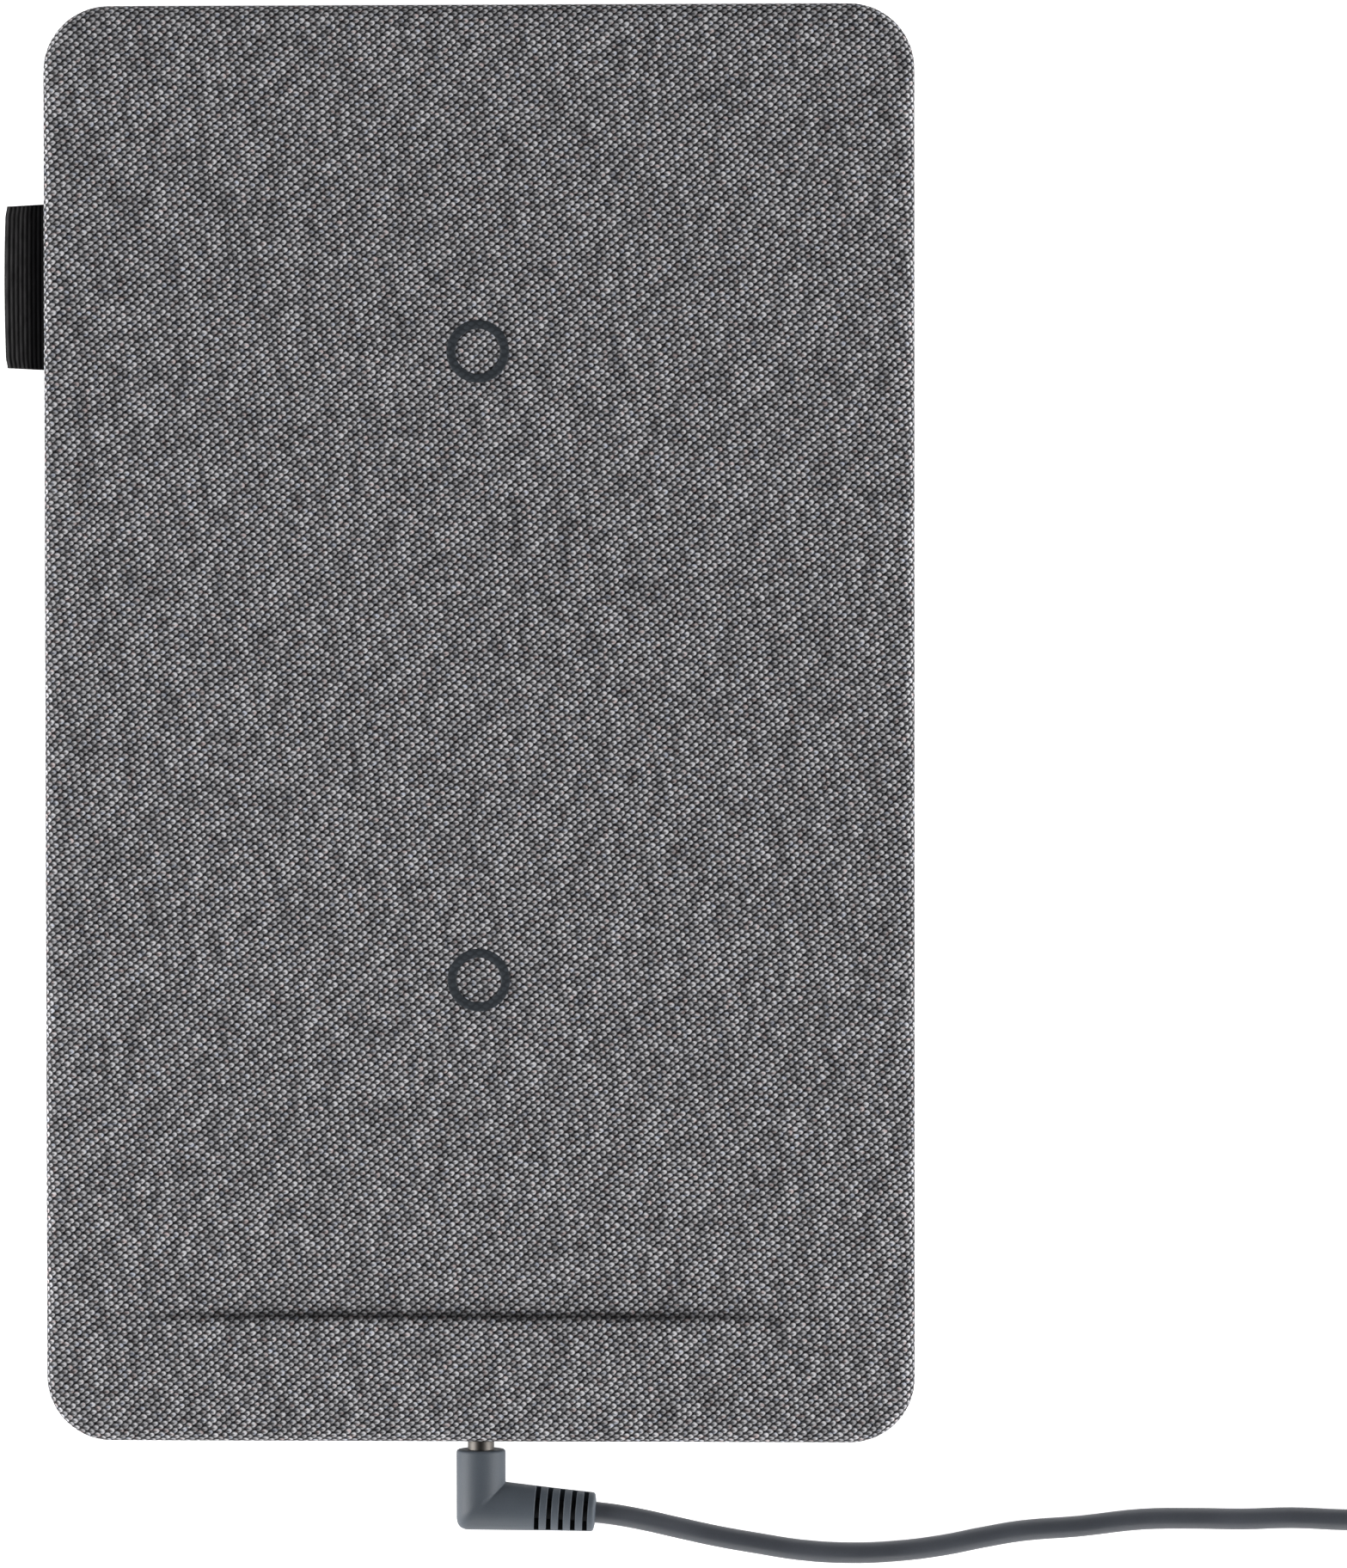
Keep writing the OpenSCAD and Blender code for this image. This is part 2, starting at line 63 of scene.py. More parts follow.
# The pad's outline, crease and heights from them, in millimetres
HALF_W = (PANEL_HI[0] - PANEL_LO[0]) / 2 / MM
FRONT_Y = STRIP_LO[1] / MM
BACK_Y = PANEL_HI[1] / MM
TOP_Z = PANEL_HI[2] / MM
HEM_Z = PANEL_LO[2] / MM
FOLD_Y = (STRIP_HI[1] + PANEL_LO[1]) / 2 / MM
FOLD_GAP = (PANEL_LO[1] - STRIP_HI[1]) / MM
# Its roundings, as in the CAD, and its cloth's thickness, in millimetres
CORNER_R = 13.5
EDGE_R = 2.6
CLOTH_T = 0.6


# -------------------- camera, stage and light

def look_at(obj, target, roll=0.0):
    """Turns obj's -Z towards target, with +Y of the pad up in the picture."""
    back = (obj.location - Vector(target)).normalized()
    side = Vector((0, 1, 0)).cross(back).normalized()
    up = back.cross(side)
    turn = Matrix((side, up, back)).transposed().to_4x4()
    obj.matrix_world = Matrix.Translation(obj.location) @ turn @ Matrix.Rotation(roll, 4, "Z")


def add_camera():
    """Almost straight above the pad, a little towards its far end and its right side."""
    distance = 1.5
    seen_height = 0.3233
    sensor_width = 36
    target = Vector((0.0403, -0.0122, TOP_Z * MM))
    over_x = math.sin(math.radians(2.0))
    over_y = math.sin(math.radians(1.37))
    data = bpy.data.cameras.new("camera")
    data.sensor_width = sensor_width
    data.lens = sensor_width * distance / seen_height
    data.clip_start = 0.01
    data.clip_end = 20
    camera = bpy.data.objects.new("camera", data)
    bpy.context.scene.collection.objects.link(camera)
    over_z = math.sqrt(1 - over_x ** 2 - over_y ** 2)
    camera.location = target + distance * Vector((over_x, over_y, over_z))
    look_at(camera, target, roll=math.radians(-0.06))
    bpy.context.scene.camera = camera


def add_area(name, place, target, size, watts):
    """Rectangular soft light at place, turned towards target; metres and watts."""
    data = bpy.data.lights.new(name, "AREA")
    data.shape = "RECTANGLE"
    data.size, data.size_y = size
    data.energy = watts
    light = bpy.data.objects.new(name, data)
    bpy.context.scene.collection.objects.link(light)
    light.location = place
    look_at(light, target)


def add_stage():
    """White floor that glows a little, as a sweep lit from below does; just under the pad's base."""
    half = 3.0
    below = 0.1 * MM
    material = bpy.data.materials.new("sweep_white")
    material.use_nodes = True
    shader = material.node_tree.nodes["Principled BSDF"]
    shader.inputs["Base Color"].default_value = (0.92, 0.92, 0.92, 1)
    shader.inputs["Roughness"].default_value = 0.9
    shader.inputs["Emission Color"].default_value = (1, 1, 1, 1)
    shader.inputs["Emission Strength"].default_value = 0.85
    mesh = bpy.data.meshes.new("floor")
    corners = [(-half, -half, 0), (half, -half, 0), (half, half, 0), (-half, half, 0)]
    mesh.from_pydata(corners, [], [(0, 1, 2, 3)])
    mesh.materials.append(material)
    floor = bpy.data.objects.new("floor", mesh)
    floor.location = (0, 0, -below)
    bpy.context.scene.collection.objects.link(floor)


def add_light():
    """Sky that is pale at the horizon and dark overhead, and three long soft lights low round the pad."""
    scene = bpy.context.scene
    scene.view_settings.view_transform = "Standard"
    scene.view_settings.look = "None"
    world = bpy.data.worlds.new("studio")
    scene.world = world
    world.use_nodes = True
    nodes = world.node_tree.nodes
    links = world.node_tree.links
    way = nodes.new("ShaderNodeSeparateXYZ")
    links.new(nodes.new("ShaderNodeTexCoord").outputs["Generated"], way.inputs[0])
    fall = nodes.new("ShaderNodeMapRange")
    fall.inputs["From Min"].default_value = 0.15
    fall.inputs["From Max"].default_value = 0.95
    fall.inputs["To Min"].default_value = 0.50
    fall.inputs["To Max"].default_value = 0.03
    links.new(way.outputs["Z"], fall.inputs["Value"])
    links.new(fall.outputs[0], nodes["Background"].inputs["Strength"])
    nodes["Background"].inputs["Color"].default_value = (1, 1, 1, 1)
    aim = (0.02, 0, 0)
    add_area("key_front", (0.0, -1.1, 0.36), aim, (1.6, 0.4), 7)
    add_area("fill_left", (-1.1, -0.1, 0.32), aim, (0.8, 0.3), 18)
    add_area("fill_right", (1.2, -0.1, 0.32), aim, (0.8, 0.3), 18)


# -------------------- shader helper

class Shader:
    """A material with a Principled BSDF and short ways to add nodes to it."""

    def __init__(self, name, **sockets):
        self.material = bpy.data.materials.new(name)
        self.material.use_nodes = True
        self.tree = self.material.node_tree
        self.bsdf = self.tree.nodes["Principled BSDF"]
        for socket, value in sockets.items():
            self.set(socket.replace("_", " ").title().replace("Ior", "IOR"), value)

    def set(self, socket, value):
        """Links or sets one socket of the Principled BSDF."""
        target = self.bsdf.inputs[socket]
        if isinstance(value, bpy.types.NodeSocket):
            self.tree.links.new(value, target)
        else:
            target.default_value = value

    def feed(self, node, inputs):
        """Links or sets a node's inputs."""
        for key, value in inputs.items():
            if isinstance(value, bpy.types.NodeSocket):
                self.tree.links.new(value, node.inputs[key])
            else:
                node.inputs[key].default_value = value

    def math(self, operation, *values, clamp=False):
        node = self.tree.nodes.new("ShaderNodeMath")
        node.operation = operation
        node.use_clamp = clamp
        self.feed(node, dict(enumerate(values)))
        return node.outputs[0]

    def vector(self, operation, *values):
        node = self.tree.nodes.new("ShaderNodeVectorMath")
        node.operation = operation
        self.feed(node, dict(enumerate(values)))
        return node.outputs["Value" if operation == "DOT_PRODUCT" else "Vector"]

    def split(self, vector):
        node = self.tree.nodes.new("ShaderNodeSeparateXYZ")
        self.feed(node, {0: vector})
        return node.outputs

    def join(self, x, y, z=0.0):
        node = self.tree.nodes.new("ShaderNodeCombineXYZ")
        self.feed(node, {0: x, 1: y, 2: z})
        return node.outputs[0]

    def place(self):
        """The point's place on the object, in metres."""
        return self.tree.nodes.new("ShaderNodeTexCoord").outputs["Object"]

    def in_mm(self, vector):
        """The same vector in millimetres."""
        node = self.tree.nodes.new("ShaderNodeVectorMath")
        node.operation = "SCALE"
        self.feed(node, {0: vector, "Scale": 1 / MM})
        return node.outputs["Vector"]

    def stored(self, name):
        """A vector kept on the mesh's points."""
        node = self.tree.nodes.new("ShaderNodeAttribute")
        node.attribute_name = name
        return node.outputs["Vector"]

    def stored_number(self, name):
        """A number kept on the mesh's points."""
        node = self.tree.nodes.new("ShaderNodeAttribute")
        node.attribute_name = name
        return node.outputs["Fac"]

    def noise(self, vector, scale, detail, roughness=0.5):
        node = self.tree.nodes.new("ShaderNodeTexNoise")
        self.feed(node, {"Vector": vector, "Scale": scale, "Detail": detail, "Roughness": roughness})
        return node.outputs

    def white(self, vector):
        node = self.tree.nodes.new("ShaderNodeTexWhiteNoise")
        self.feed(node, {"Vector": vector})
        return node.outputs["Value"]

    def spread(self, value, low, high, to_low=0.0, to_high=1.0, eased=True):
        """Maps low..high to to_low..to_high, held beyond both ends."""
        node = self.tree.nodes.new("ShaderNodeMapRange")
        node.interpolation_type = "SMOOTHSTEP" if eased else "LINEAR"
        self.feed(node, {0: value, 1: low, 2: high, 3: to_low, 4: to_high})
        return node.outputs[0]

    def mix(self, factor, a, b, blend="MIX"):
        """Mixes two colours, each an RGB tuple or a socket."""
        node = self.tree.nodes.new("ShaderNodeMix")
        node.data_type = "RGBA"
        node.blend_type = blend
        first, second = [(*c, 1) if isinstance(c, tuple) else c for c in (a, b)]
        self.feed(node, {0: factor, 6: first, 7: second})
        return node.outputs[2]

    def bump(self, height, distance):
        node = self.tree.nodes.new("ShaderNodeBump")
        self.feed(node, {"Height": height, "Distance": distance})
        return node.outputs[0]


# -------------------- fabric

# Two steps of the weave's hump lattice, in millimetres across and along the pad
STEP_A = (1.110, -0.725)
STEP_B = (0.927, 0.858)
# How fast humps end along those steps: below 1 they run into each other, as a twill's do
FALL_A = 1.06
FALL_B = 0.92
# The cloth wanders off the even lattice slowly, and each hump a little more
FLOW_PER_MM = 0.11
FLOW_MM = (0.9, 0.9, 0)
JITTER_PER_MM = 0.75
JITTER_MM = (0.40, 0.26, 0)
WEAVE_DARK = (0.004, 0.004, 0.005)
WEAVE_LIGHT = (0.625, 0.619, 0.645)
WEAVE_DEPTH = 0.09
WARM_TINT = (0.90, 0.70, 0.66)
COOL_TINT = (0.74, 0.82, 0.98)


def weave_cells(s, cloth):
    """The weave's own coordinates, in millimetres: the flat place, the number of the nearest hump,
    the offset from it, and how far out in its cell that is, 1 where neighbours touch."""
    det = STEP_A[0] * STEP_B[1] - STEP_B[0] * STEP_A[1]
    flat = s.in_mm(cloth)
    middle = (0.5, 0.5, 0.5)
    flow = s.noise(flat, FLOW_PER_MM, 1.0)["Color"]
    flow = s.vector("MULTIPLY", s.vector("SUBTRACT", flow, middle), FLOW_MM)
    jitter = s.noise(flat, JITTER_PER_MM, 1.0)["Color"]
    jitter = s.vector("MULTIPLY", s.vector("SUBTRACT", jitter, middle), JITTER_MM)
    at = s.vector("ADD", s.vector("ADD", flat, flow), jitter)
    a = s.vector("DOT_PRODUCT", at, (STEP_B[1] / det, -STEP_B[0] / det, 0))
    b = s.vector("DOT_PRODUCT", at, (-STEP_A[1] / det, STEP_A[0] / det, 0))
    cell_a = s.math("ROUND", a)
    cell_b = s.math("ROUND", b)
    off_a = s.math("SUBTRACT", a, cell_a)
    off_b = s.math("SUBTRACT", b, cell_b)
    dx = s.math("MULTIPLY_ADD", off_b, STEP_B[0], s.math("MULTIPLY", off_a, STEP_A[0]))
    dy = s.math("MULTIPLY_ADD", off_b, STEP_B[1], s.math("MULTIPLY", off_a, STEP_A[1]))
    far_a = s.math("MULTIPLY", off_a, FALL_A)
    far_b = s.math("MULTIPLY", off_b, FALL_B)
    squares = s.math("ADD", s.math("MULTIPLY", far_a, far_a), s.math("MULTIPLY", far_b, far_b))
    out = s.math("MULTIPLY", s.math("SQRT", squares), 2.0)
    return flat, s.join(cell_a, cell_b), dx, dy, out


def weave_hollow(s, dx, dy):
    """The hollow in a hump's left half, an ellipse in millimetres from the hump's middle: a dip in the
    bump, and painted shade in the colour.
    """
    ix = s.math("DIVIDE", s.math("ADD", dx, 0.30), 0.62)
    iy = s.math("DIVIDE", s.math("ADD", dy, 0.13), 0.29)
    inner = s.math("SQRT", s.math("ADD", s.math("MULTIPLY", ix, ix), s.math("MULTIPLY", iy, iy)))
    return s.spread(inner, 1.25, 0.40, 0.0, 0.72)


def weave_gain(s, flat, cell, fibre):
    """How much paler or darker the yarn is: hump by hump, along the yarns, in clouds and by fibres."""
    yarn = s.noise(s.vector("MULTIPLY", flat, (1.10, 0.16, 1)), 1.0, 2.0)["Fac"]
    cloud = s.noise(s.vector("MULTIPLY", flat, (0.30, 0.09, 1)), 1.0, 4.0, 0.6)["Fac"]
    gain = s.spread(s.white(s.vector("ADD", cell, (17, 5, 0))), 0, 1, 0.60, 1.10, False)
    gain = s.math("MULTIPLY", gain, s.spread(yarn, 0.3, 0.7, 0.80, 1.20, False))
    gain = s.math("MULTIPLY", gain, s.spread(cloud, 0.3, 0.7, 0.70, 1.28, False))
    return s.math("MULTIPLY", gain, s.spread(fibre, 0.25, 0.75, 0.55, 1.35, False))


def weave(name):
    """Two-tone grey weave: pale humps over a dark ground, each with painted shade over its left half and
    in a hollow there, leaving a painted highlight on its right.
    """
    s = Shader(name, roughness=0.95, specular_ior_level=0.10, sheen_weight=0.05, sheen_roughness=0.5)
    flat, cell, dx, dy, out = weave_cells(s, s.stored("cloth"))
    edge = s.spread(s.white(cell), 0, 1, 0.94, 1.10, eased=False)
    body = s.spread(s.math("DIVIDE", out, edge), 1.06, 0.62)
    hollow = weave_hollow(s, dx, dy)
    # painted shade over each hump's left half and in its hollow, so its right side reads as a painted
    # highlight
    left_painted_shade = s.spread(dx, -0.52, 0.18, 0.20, 1.0)
    yarn_and_painted_shade = s.math("MULTIPLY", s.math("MULTIPLY", body, left_painted_shade), s.math("SUBTRACT", 1.0, hollow))
    # fainter yarns show between the humps
    between = s.noise(s.vector("MULTIPLY", flat, (1.6, 2.6, 1)), 1.0, 2.0)["Fac"]
    tone = s.math("MAXIMUM", yarn_and_painted_shade, s.spread(between, 0.40, 0.70, 0.0, 0.12))
    fibre = s.noise(s.vector("MULTIPLY", flat, (2.4, 7.5, 1)), 1.0, 2.0)["Fac"]
    gain = weave_gain(s, flat, cell, fibre)
    color = s.mix(s.math("MULTIPLY", tone, gain, clamp=True), WEAVE_DARK, WEAVE_LIGHT)
    # a few yarns are warmer or cooler than the rest
    fleck = s.noise(s.vector("MULTIPLY", flat, (0.55, 0.9, 1)), 1.0, 1.0)["Fac"]
    color = s.mix(s.math("MULTIPLY", s.spread(fleck, 0.58, 0.70), 0.65), color, WARM_TINT, "MULTIPLY")
    color = s.mix(s.math("MULTIPLY", s.spread(fleck, 0.42, 0.30), 0.60), color, COOL_TINT, "MULTIPLY")
    # painted shade: the crease's stored value darkens the cloth's colour down to 0.16 of itself
    shade = s.spread(s.stored_number("painted_crease_shade"), 0, 1, 1.0, 0.16, eased=False)
    s.set("Base Color", s.mix(1.0, color, s.join(shade, shade, shade), "MULTIPLY"))
    below_top = s.math("SUBTRACT", 1.0, s.math("MULTIPLY", out, out))
    dome = s.math("SQRT", s.math("MAXIMUM", below_top, 0.0))
    height = s.math("SUBTRACT", dome, s.math("MULTIPLY", hollow, 0.35))
    height = s.math("ADD", height, s.math("MULTIPLY", fibre, 0.3))
    s.set("Normal", s.bump(height, WEAVE_DEPTH * MM))
    return s.material


# -------------------- plain materials

# Grosgrain, in millimetres, and where its painted shade near the seam begins and is full, in metres
RIB_PITCH = 0.9
THREAD_PITCH = 0.22
RIBBON_PAINTED_SHADE_X = (-0.0952, -0.0925)


def moulded(name, color, roughness=0.5, grain=900.0, depth=0.02, vary=0.12):
    """Moulded plastic or rubber: fine surface grain and slightly uneven colour and gloss."""
    s = Shader(name)
    place = s.place()
    cloud = s.noise(place, 60.0, 3.0)["Fac"]
    speck = s.noise(place, grain * 2.2, 2.0)["Fac"]
    fine = vary * 0.6
    uneven = 0.06
    value = s.math("MULTIPLY", s.spread(cloud, 0.3, 0.7, 1 - vary, 1 + vary, False),
                   s.spread(speck, 0.2, 0.8, 1 - fine, 1 + fine, False))
    s.set("Base Color", s.mix(1.0, color, s.join(value, value, value), "MULTIPLY"))
    s.set("Roughness", s.spread(cloud, 0.3, 0.7, roughness - uneven, roughness + uneven, False))
    s.set("Normal", s.bump(s.noise(place, grain, 3.0)["Fac"], depth * MM))
    return s.material


def metal(name, color, roughness=0.28):
    """Plated metal with rub marks drawn out along Y."""
    s = Shader(name, metallic=1.0)
    rub_per_metre = (400.0, 40.0, 400.0)
    streak = s.noise(s.vector("MULTIPLY", s.place(), rub_per_metre), 1.0, 3.0)["Fac"]
    shade = s.spread(streak, 0.3, 0.7, 0.82, 1.08, False)
    s.set("Base Color", s.mix(1.0, color, s.join(shade, shade, shade), "MULTIPLY"))
    s.set("Roughness", s.spread(streak, 0.3, 0.7, roughness - 0.08, roughness + 0.12, False))
    return s.material


def ribbed_ribbon(name):
    """Black grosgrain: cords along the pad's edge, fine threads across them, with painted shade darkening
    it in to the seam.
    """
    s = Shader(name, roughness=0.85, specular_ior_level=0.04)
    flat = s.in_mm(s.stored("cloth"))
    across, along, _ = s.split(flat)
    rib = s.math("COSINE", s.math("MULTIPLY", across, 2 * math.pi / RIB_PITCH))
    thread = s.math("SINE", s.math("MULTIPLY", along, 2 * math.pi / THREAD_PITCH))
    worn = s.noise(s.vector("MULTIPLY", flat, (1.2, 0.25, 1)), 1.0, 3.0)["Fac"]
    worn = s.spread(worn, 0.3, 0.75, 0.45, 1.25, False)
    tone = s.math("MULTIPLY", s.spread(rib, -1.0, 1.0, 0.25, 1.0), worn)
    # painted shade: the ribbon's colour darkens towards the seam, where the pad's edge overhangs it
    seam_painted_shade = s.spread(s.split(s.place())[0], *RIBBON_PAINTED_SHADE_X, 1.0, 0.12)
    tone = s.math("MULTIPLY", tone, seam_painted_shade)
    s.set("Base Color", s.mix(tone, (0.002, 0.002, 0.0025), (0.048, 0.047, 0.048)))
    s.set("Normal", s.bump(s.math("ADD", rib, s.math("MULTIPLY", thread, 0.25)), 0.05 * MM))
    return s.material


def board_green(name):
    """Solder mask with copper tracks that show through it."""
    s = Shader(name, roughness=0.35)
    place = s.in_mm(s.place())
    wander = s.noise(s.vector("MULTIPLY", place, (0.05, 0.05, 0)), 1.0, 0.0)["Fac"]
    across = s.math("ADD", s.math("MULTIPLY", s.split(place)[1], 3.4), s.math("MULTIPLY", wander, 22.0))
    line = s.spread(s.math("SINE", across), 0.55, 0.75)
    s.set("Base Color", s.mix(line, (0.006, 0.050, 0.022), (0.012, 0.105, 0.045)))
    s.set("Normal", s.bump(line, 0.03 * MM))
    return s.material


# -------------------- mesh helpers

def add_piece(name, verts, faces, material, body):
    """A smooth mesh object, verts in millimetres, that rides on body, or None to say so later."""
    mesh = bpy.data.meshes.new(name)
    mesh.from_pydata([Vector(v) * MM for v in verts], [], faces)
    mesh.materials.append(material)
    mesh.polygons.foreach_set("use_smooth", [True] * len(mesh.polygons))
    piece = bpy.data.objects.new(name, mesh)
    bpy.context.scene.collection.objects.link(piece)
    if body:
        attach(piece, body)
    return piece


def keep_cloth(piece, flat):
    """Stores each vertex's place on the flat cloth, in metres, for the weave."""
    layer = piece.data.attributes.new("cloth", "FLOAT_VECTOR", "POINT")
    layer.data.foreach_set("vector", [c * MM for p in flat for c in (p[0], p[1], 0.0)])


def apply_modifiers(piece):
    """Puts what the piece's modifiers make into its mesh."""
    bpy.context.view_layer.update()
    dg = bpy.context.evaluated_depsgraph_get()
    mesh = bpy.data.meshes.new_from_object(piece.evaluated_get(dg), depsgraph=dg)
    piece.modifiers.clear()
    piece.data = mesh


def thicken(piece, thickness, offset=-1.0):
    """Gives a sheet its thickness, in millimetres: inwards, or both ways with an offset of 0."""
    solid = piece.modifiers.new("thickness", "SOLIDIFY")
    solid.thickness = thickness * MM
    solid.offset = offset
    solid.use_even_offset = True
    solid.use_quality_normals = True
    apply_modifiers(piece)


def ring_points(count):
    """Evenly spaced angles round a circle."""
    return [2 * math.pi * i / count for i in range(count)]


def strip_faces(rows, columns):
    """Quads over a grid of points stored row by row."""
    return [(a, a + columns, a + columns + 1, a + 1)
            for i in range(rows - 1) for a in range(i * columns, i * columns + columns - 1)]


def steps(low, high, most):
    """Evenly spaced values from low to high, both included, at most that far apart."""
    count = max(1, math.ceil((high - low) / most - 1e-9))
    return [low + (high - low) * i / count for i in range(count + 1)]


def smooth(t):
    """Eases from 0 at t = 0 to 1 at t = 1, held beyond both."""
    t = min(1.0, max(0.0, t))
    return t * t * (3 - 2 * t)


# -------------------- cover cloth

MARKERS = [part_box("front_marker"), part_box("rear_marker")]
MARKER_SPOTS = [((lo[0] + hi[0]) / 2 / MM, (lo[1] + hi[1]) / 2 / MM) for lo, hi in MARKERS]
MARKER_R = (MARKERS[0][1][0] - MARKERS[0][0][0]) / 2 / MM
MARKER_STROKE = 1.9
MARKER_SINK = 0.13
# The crease: how deep, where its middle is, how far it reaches to each side of that, and how far its
# dip and its painted shade run out over the panel and over the strip
CREASE_DEPTH = 1.45
CREASE_X = -2.5
CREASE_HALF = 80.0
CREASE_DIP = (1.35, 0.42)
CREASE_SHADE = (2.1, 0.62)


def crease_fade(x):
    """1 over most of the crease, 0 at its ends."""
    return smooth(1.8 * (1 - abs(x - CREASE_X) / CREASE_HALF)) ** 0.8


def crease_fall(across, runs):
    """1 in the crease, falling away over the panel, where across is over 0, and over the strip."""
    run = runs[0] if across > 0 else runs[1]
    return math.exp(-((abs(across) / run) ** 1.15))


def crease_depth(x, y):
    """Depth of the crease: steep at the strip, easing out over the panel, gone near the sides."""
    wander = 0.12 * noise.noise(Vector((x * 0.09, 3.1, 0)))
    return CREASE_DEPTH * crease_fade(x) * crease_fall(y - FOLD_Y - wander, CREASE_DIP)


def crease_painted_shade(x, y):
    """How much painted shade the crease puts on the weave's colour, 0 to 1."""
    return crease_fade(x) * crease_fall(y - FOLD_Y, CREASE_SHADE)


def swell(x, y):
    """The slight rise and fall of the foam under the cloth."""
    return 0.10 * noise.noise(Vector((x * 0.035, y * 0.035, 0.7)))


def top_relief(x, y):
    """Height of the cover above or below its flat top."""
    z = -crease_depth(x, y)
    for cx, cy in MARKER_SPOTS:
        away = abs(math.hypot(x - cx, y - cy) - MARKER_R + MARKER_STROKE / 2)
        z -= MARKER_SINK * smooth(1.6 - away / 1.1)
    return z + swell(x, y)


def grid_lines(low, high, fine):
    """Grid positions from low to high: fine holds (centre, half width, spacing) of close stretches."""
    coarse = 4.0
    marks = set()
    for centre, half, spacing in fine:
        stretch = steps(max(low, centre - half), min(high, centre + half), spacing)
        marks.update(round(v, 4) for v in stretch)
    lines = sorted(marks | {low, high})
    full = [lines[0]]
    for value in lines[1:]:
        full += steps(full[-1], value, coarse)[1:]
    return full


HALF_GAP = FOLD_GAP / 2
INNER_X = HALF_W - CORNER_R
INNER_Y = (FRONT_Y + CORNER_R, BACK_Y - CORNER_R)
MARKER_FINE = (9, 0.6)
GRID_X = grid_lines(-INNER_X, INNER_X, [(0, *MARKER_FINE)])
GRID_Y = grid_lines(*INNER_Y, [(cy, *MARKER_FINE) for _, cy in MARKER_SPOTS] + [
    (FOLD_Y, 6, 1.0), (FOLD_Y, 2.4, 0.3), (FOLD_Y, HALF_GAP, HALF_GAP)])


def border_stations():
    """Points round the inner rectangle, anticlockwise, each with the way out of the pad from it."""
    corner = [math.radians(a) for a in range(0, 90, 6)]
    low, high = INNER_Y
    stations = [(x, low, 0, -1) for x in GRID_X]
    stations += [(INNER_X, low, math.sin(a), -math.cos(a)) for a in corner[1:]]
    stations += [(INNER_X, y, 1, 0) for y in GRID_Y]
    stations += [(INNER_X, high, math.cos(a), math.sin(a)) for a in corner[1:]]
    stations += [(x, high, 0, 1) for x in reversed(GRID_X)]
    stations += [(-INNER_X, high, -math.sin(a), math.cos(a)) for a in corner[1:]]
    stations += [(-INNER_X, y, -1, 0) for y in reversed(GRID_Y)]
    stations += [(-INNER_X, low, -math.cos(a), -math.sin(a)) for a in corner[1:]]
    return stations


HEM_RUN = 7


def border_profile():
    """From the inner rectangle out over the eased edge, down the side and under to the hem:
    (reach from the rectangle, height, length along the cloth, how much of the top's relief)."""
    eased = CORNER_R - EDGE_R
    quarter = [math.radians(a) for a in steps(0, 90, 15)[1:]]
    points = [(reach, TOP_Z, 1.0) for reach in steps(0, eased, 2.2)[1:]]
    for t in quarter:
        rise = EDGE_R * math.cos(t)
        points.append((eased + EDGE_R * math.sin(t), TOP_Z - EDGE_R + rise, math.cos(t)))
    points += [(CORNER_R, z, 0.0) for z in reversed(steps(HEM_Z + EDGE_R, TOP_Z - EDGE_R, 0.6)[:-1])]
    for t in quarter:
        points.append((eased + EDGE_R * math.cos(t), HEM_Z + EDGE_R - EDGE_R * math.sin(t), 0.0))
    points += [(reach, HEM_Z, 0.0) for reach in reversed(steps(CORNER_R - HEM_RUN, eased, 1.5)[:-1])]
    length = 0.0
    last = (0.0, TOP_Z)
    profile = []
    for reach, z, relief in points:
        length += math.hypot(reach - last[0], z - last[1])
        last = (reach, z)
        profile.append((reach, z, length, relief))
    return profile


JACK_Z = sum(c[2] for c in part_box("plug_sleeve")) / 2 / MM
JACK_HOLE_R = 3.8
SLIT_TOP = TOP_Z - EDGE_R


def border_rings(stations, profile, verts, flat):
    """Adds the border's points to verts and flat; returns their numbers, ring by ring."""
    across = len(GRID_X)
    rings = [[GRID_Y.index(y) * across + GRID_X.index(x) for x, y, _, _ in stations]]
    for reach, z, length, relief in profile:
        ring = []
        for x, y, ox, oy in stations:
            px, py = x + reach * ox, y + reach * oy
            corner = min(abs(ox), abs(oy)) > 0.01
            pleat = 0.18 * math.sin(9 * math.atan2(oy, ox)) if corner and z <= HEM_Z + 0.01 else 0.0
            ring.append(len(verts))
            verts.append((px, py, z + relief * top_relief(px, py) + pleat))
            flat.append((x + length * ox, y + length * oy))
        rings.append(ring)
    return rings


def border_faces(stations, profile, rings):
    """Faces between the border's rings, open at the slit where the pad's sides fold."""
    heights = [TOP_Z] + [p[1] for p in profile]
    count = len(stations)
    faces = []
    for k in range(len(rings) - 1):
        for i in range(count):
            j = (i + 1) % count
            middle = (stations[i][1] + stations[j][1]) / 2
            on_fold = abs(middle - FOLD_Y) < HALF_GAP and abs(stations[i][2]) == 1
            if on_fold and heights[k] < SLIT_TOP + 0.01:
                continue
            quad = [rings[k][i], rings[k + 1][i], rings[k + 1][j], rings[k][j]]
            corners = list(dict.fromkeys(quad))
            if len(corners) > 2:
                faces.append(tuple(corners))
    return faces


def open_jack_hole(verts, faces):
    """Opens the jack's hole in the front side; its edge points move onto a circle."""
    cut = set()
    for n, (x, y, z) in enumerate(verts):
        away = math.hypot(x, z - JACK_Z)
        if y < FRONT_Y + EDGE_R and away < JACK_HOLE_R:
            cut.add(n)
            grow = JACK_HOLE_R / max(away, 0.01)
            verts[n] = (x * grow, y, JACK_Z + (z - JACK_Z) * grow)
    return [f for f in faces if not all(n in cut for n in f)]


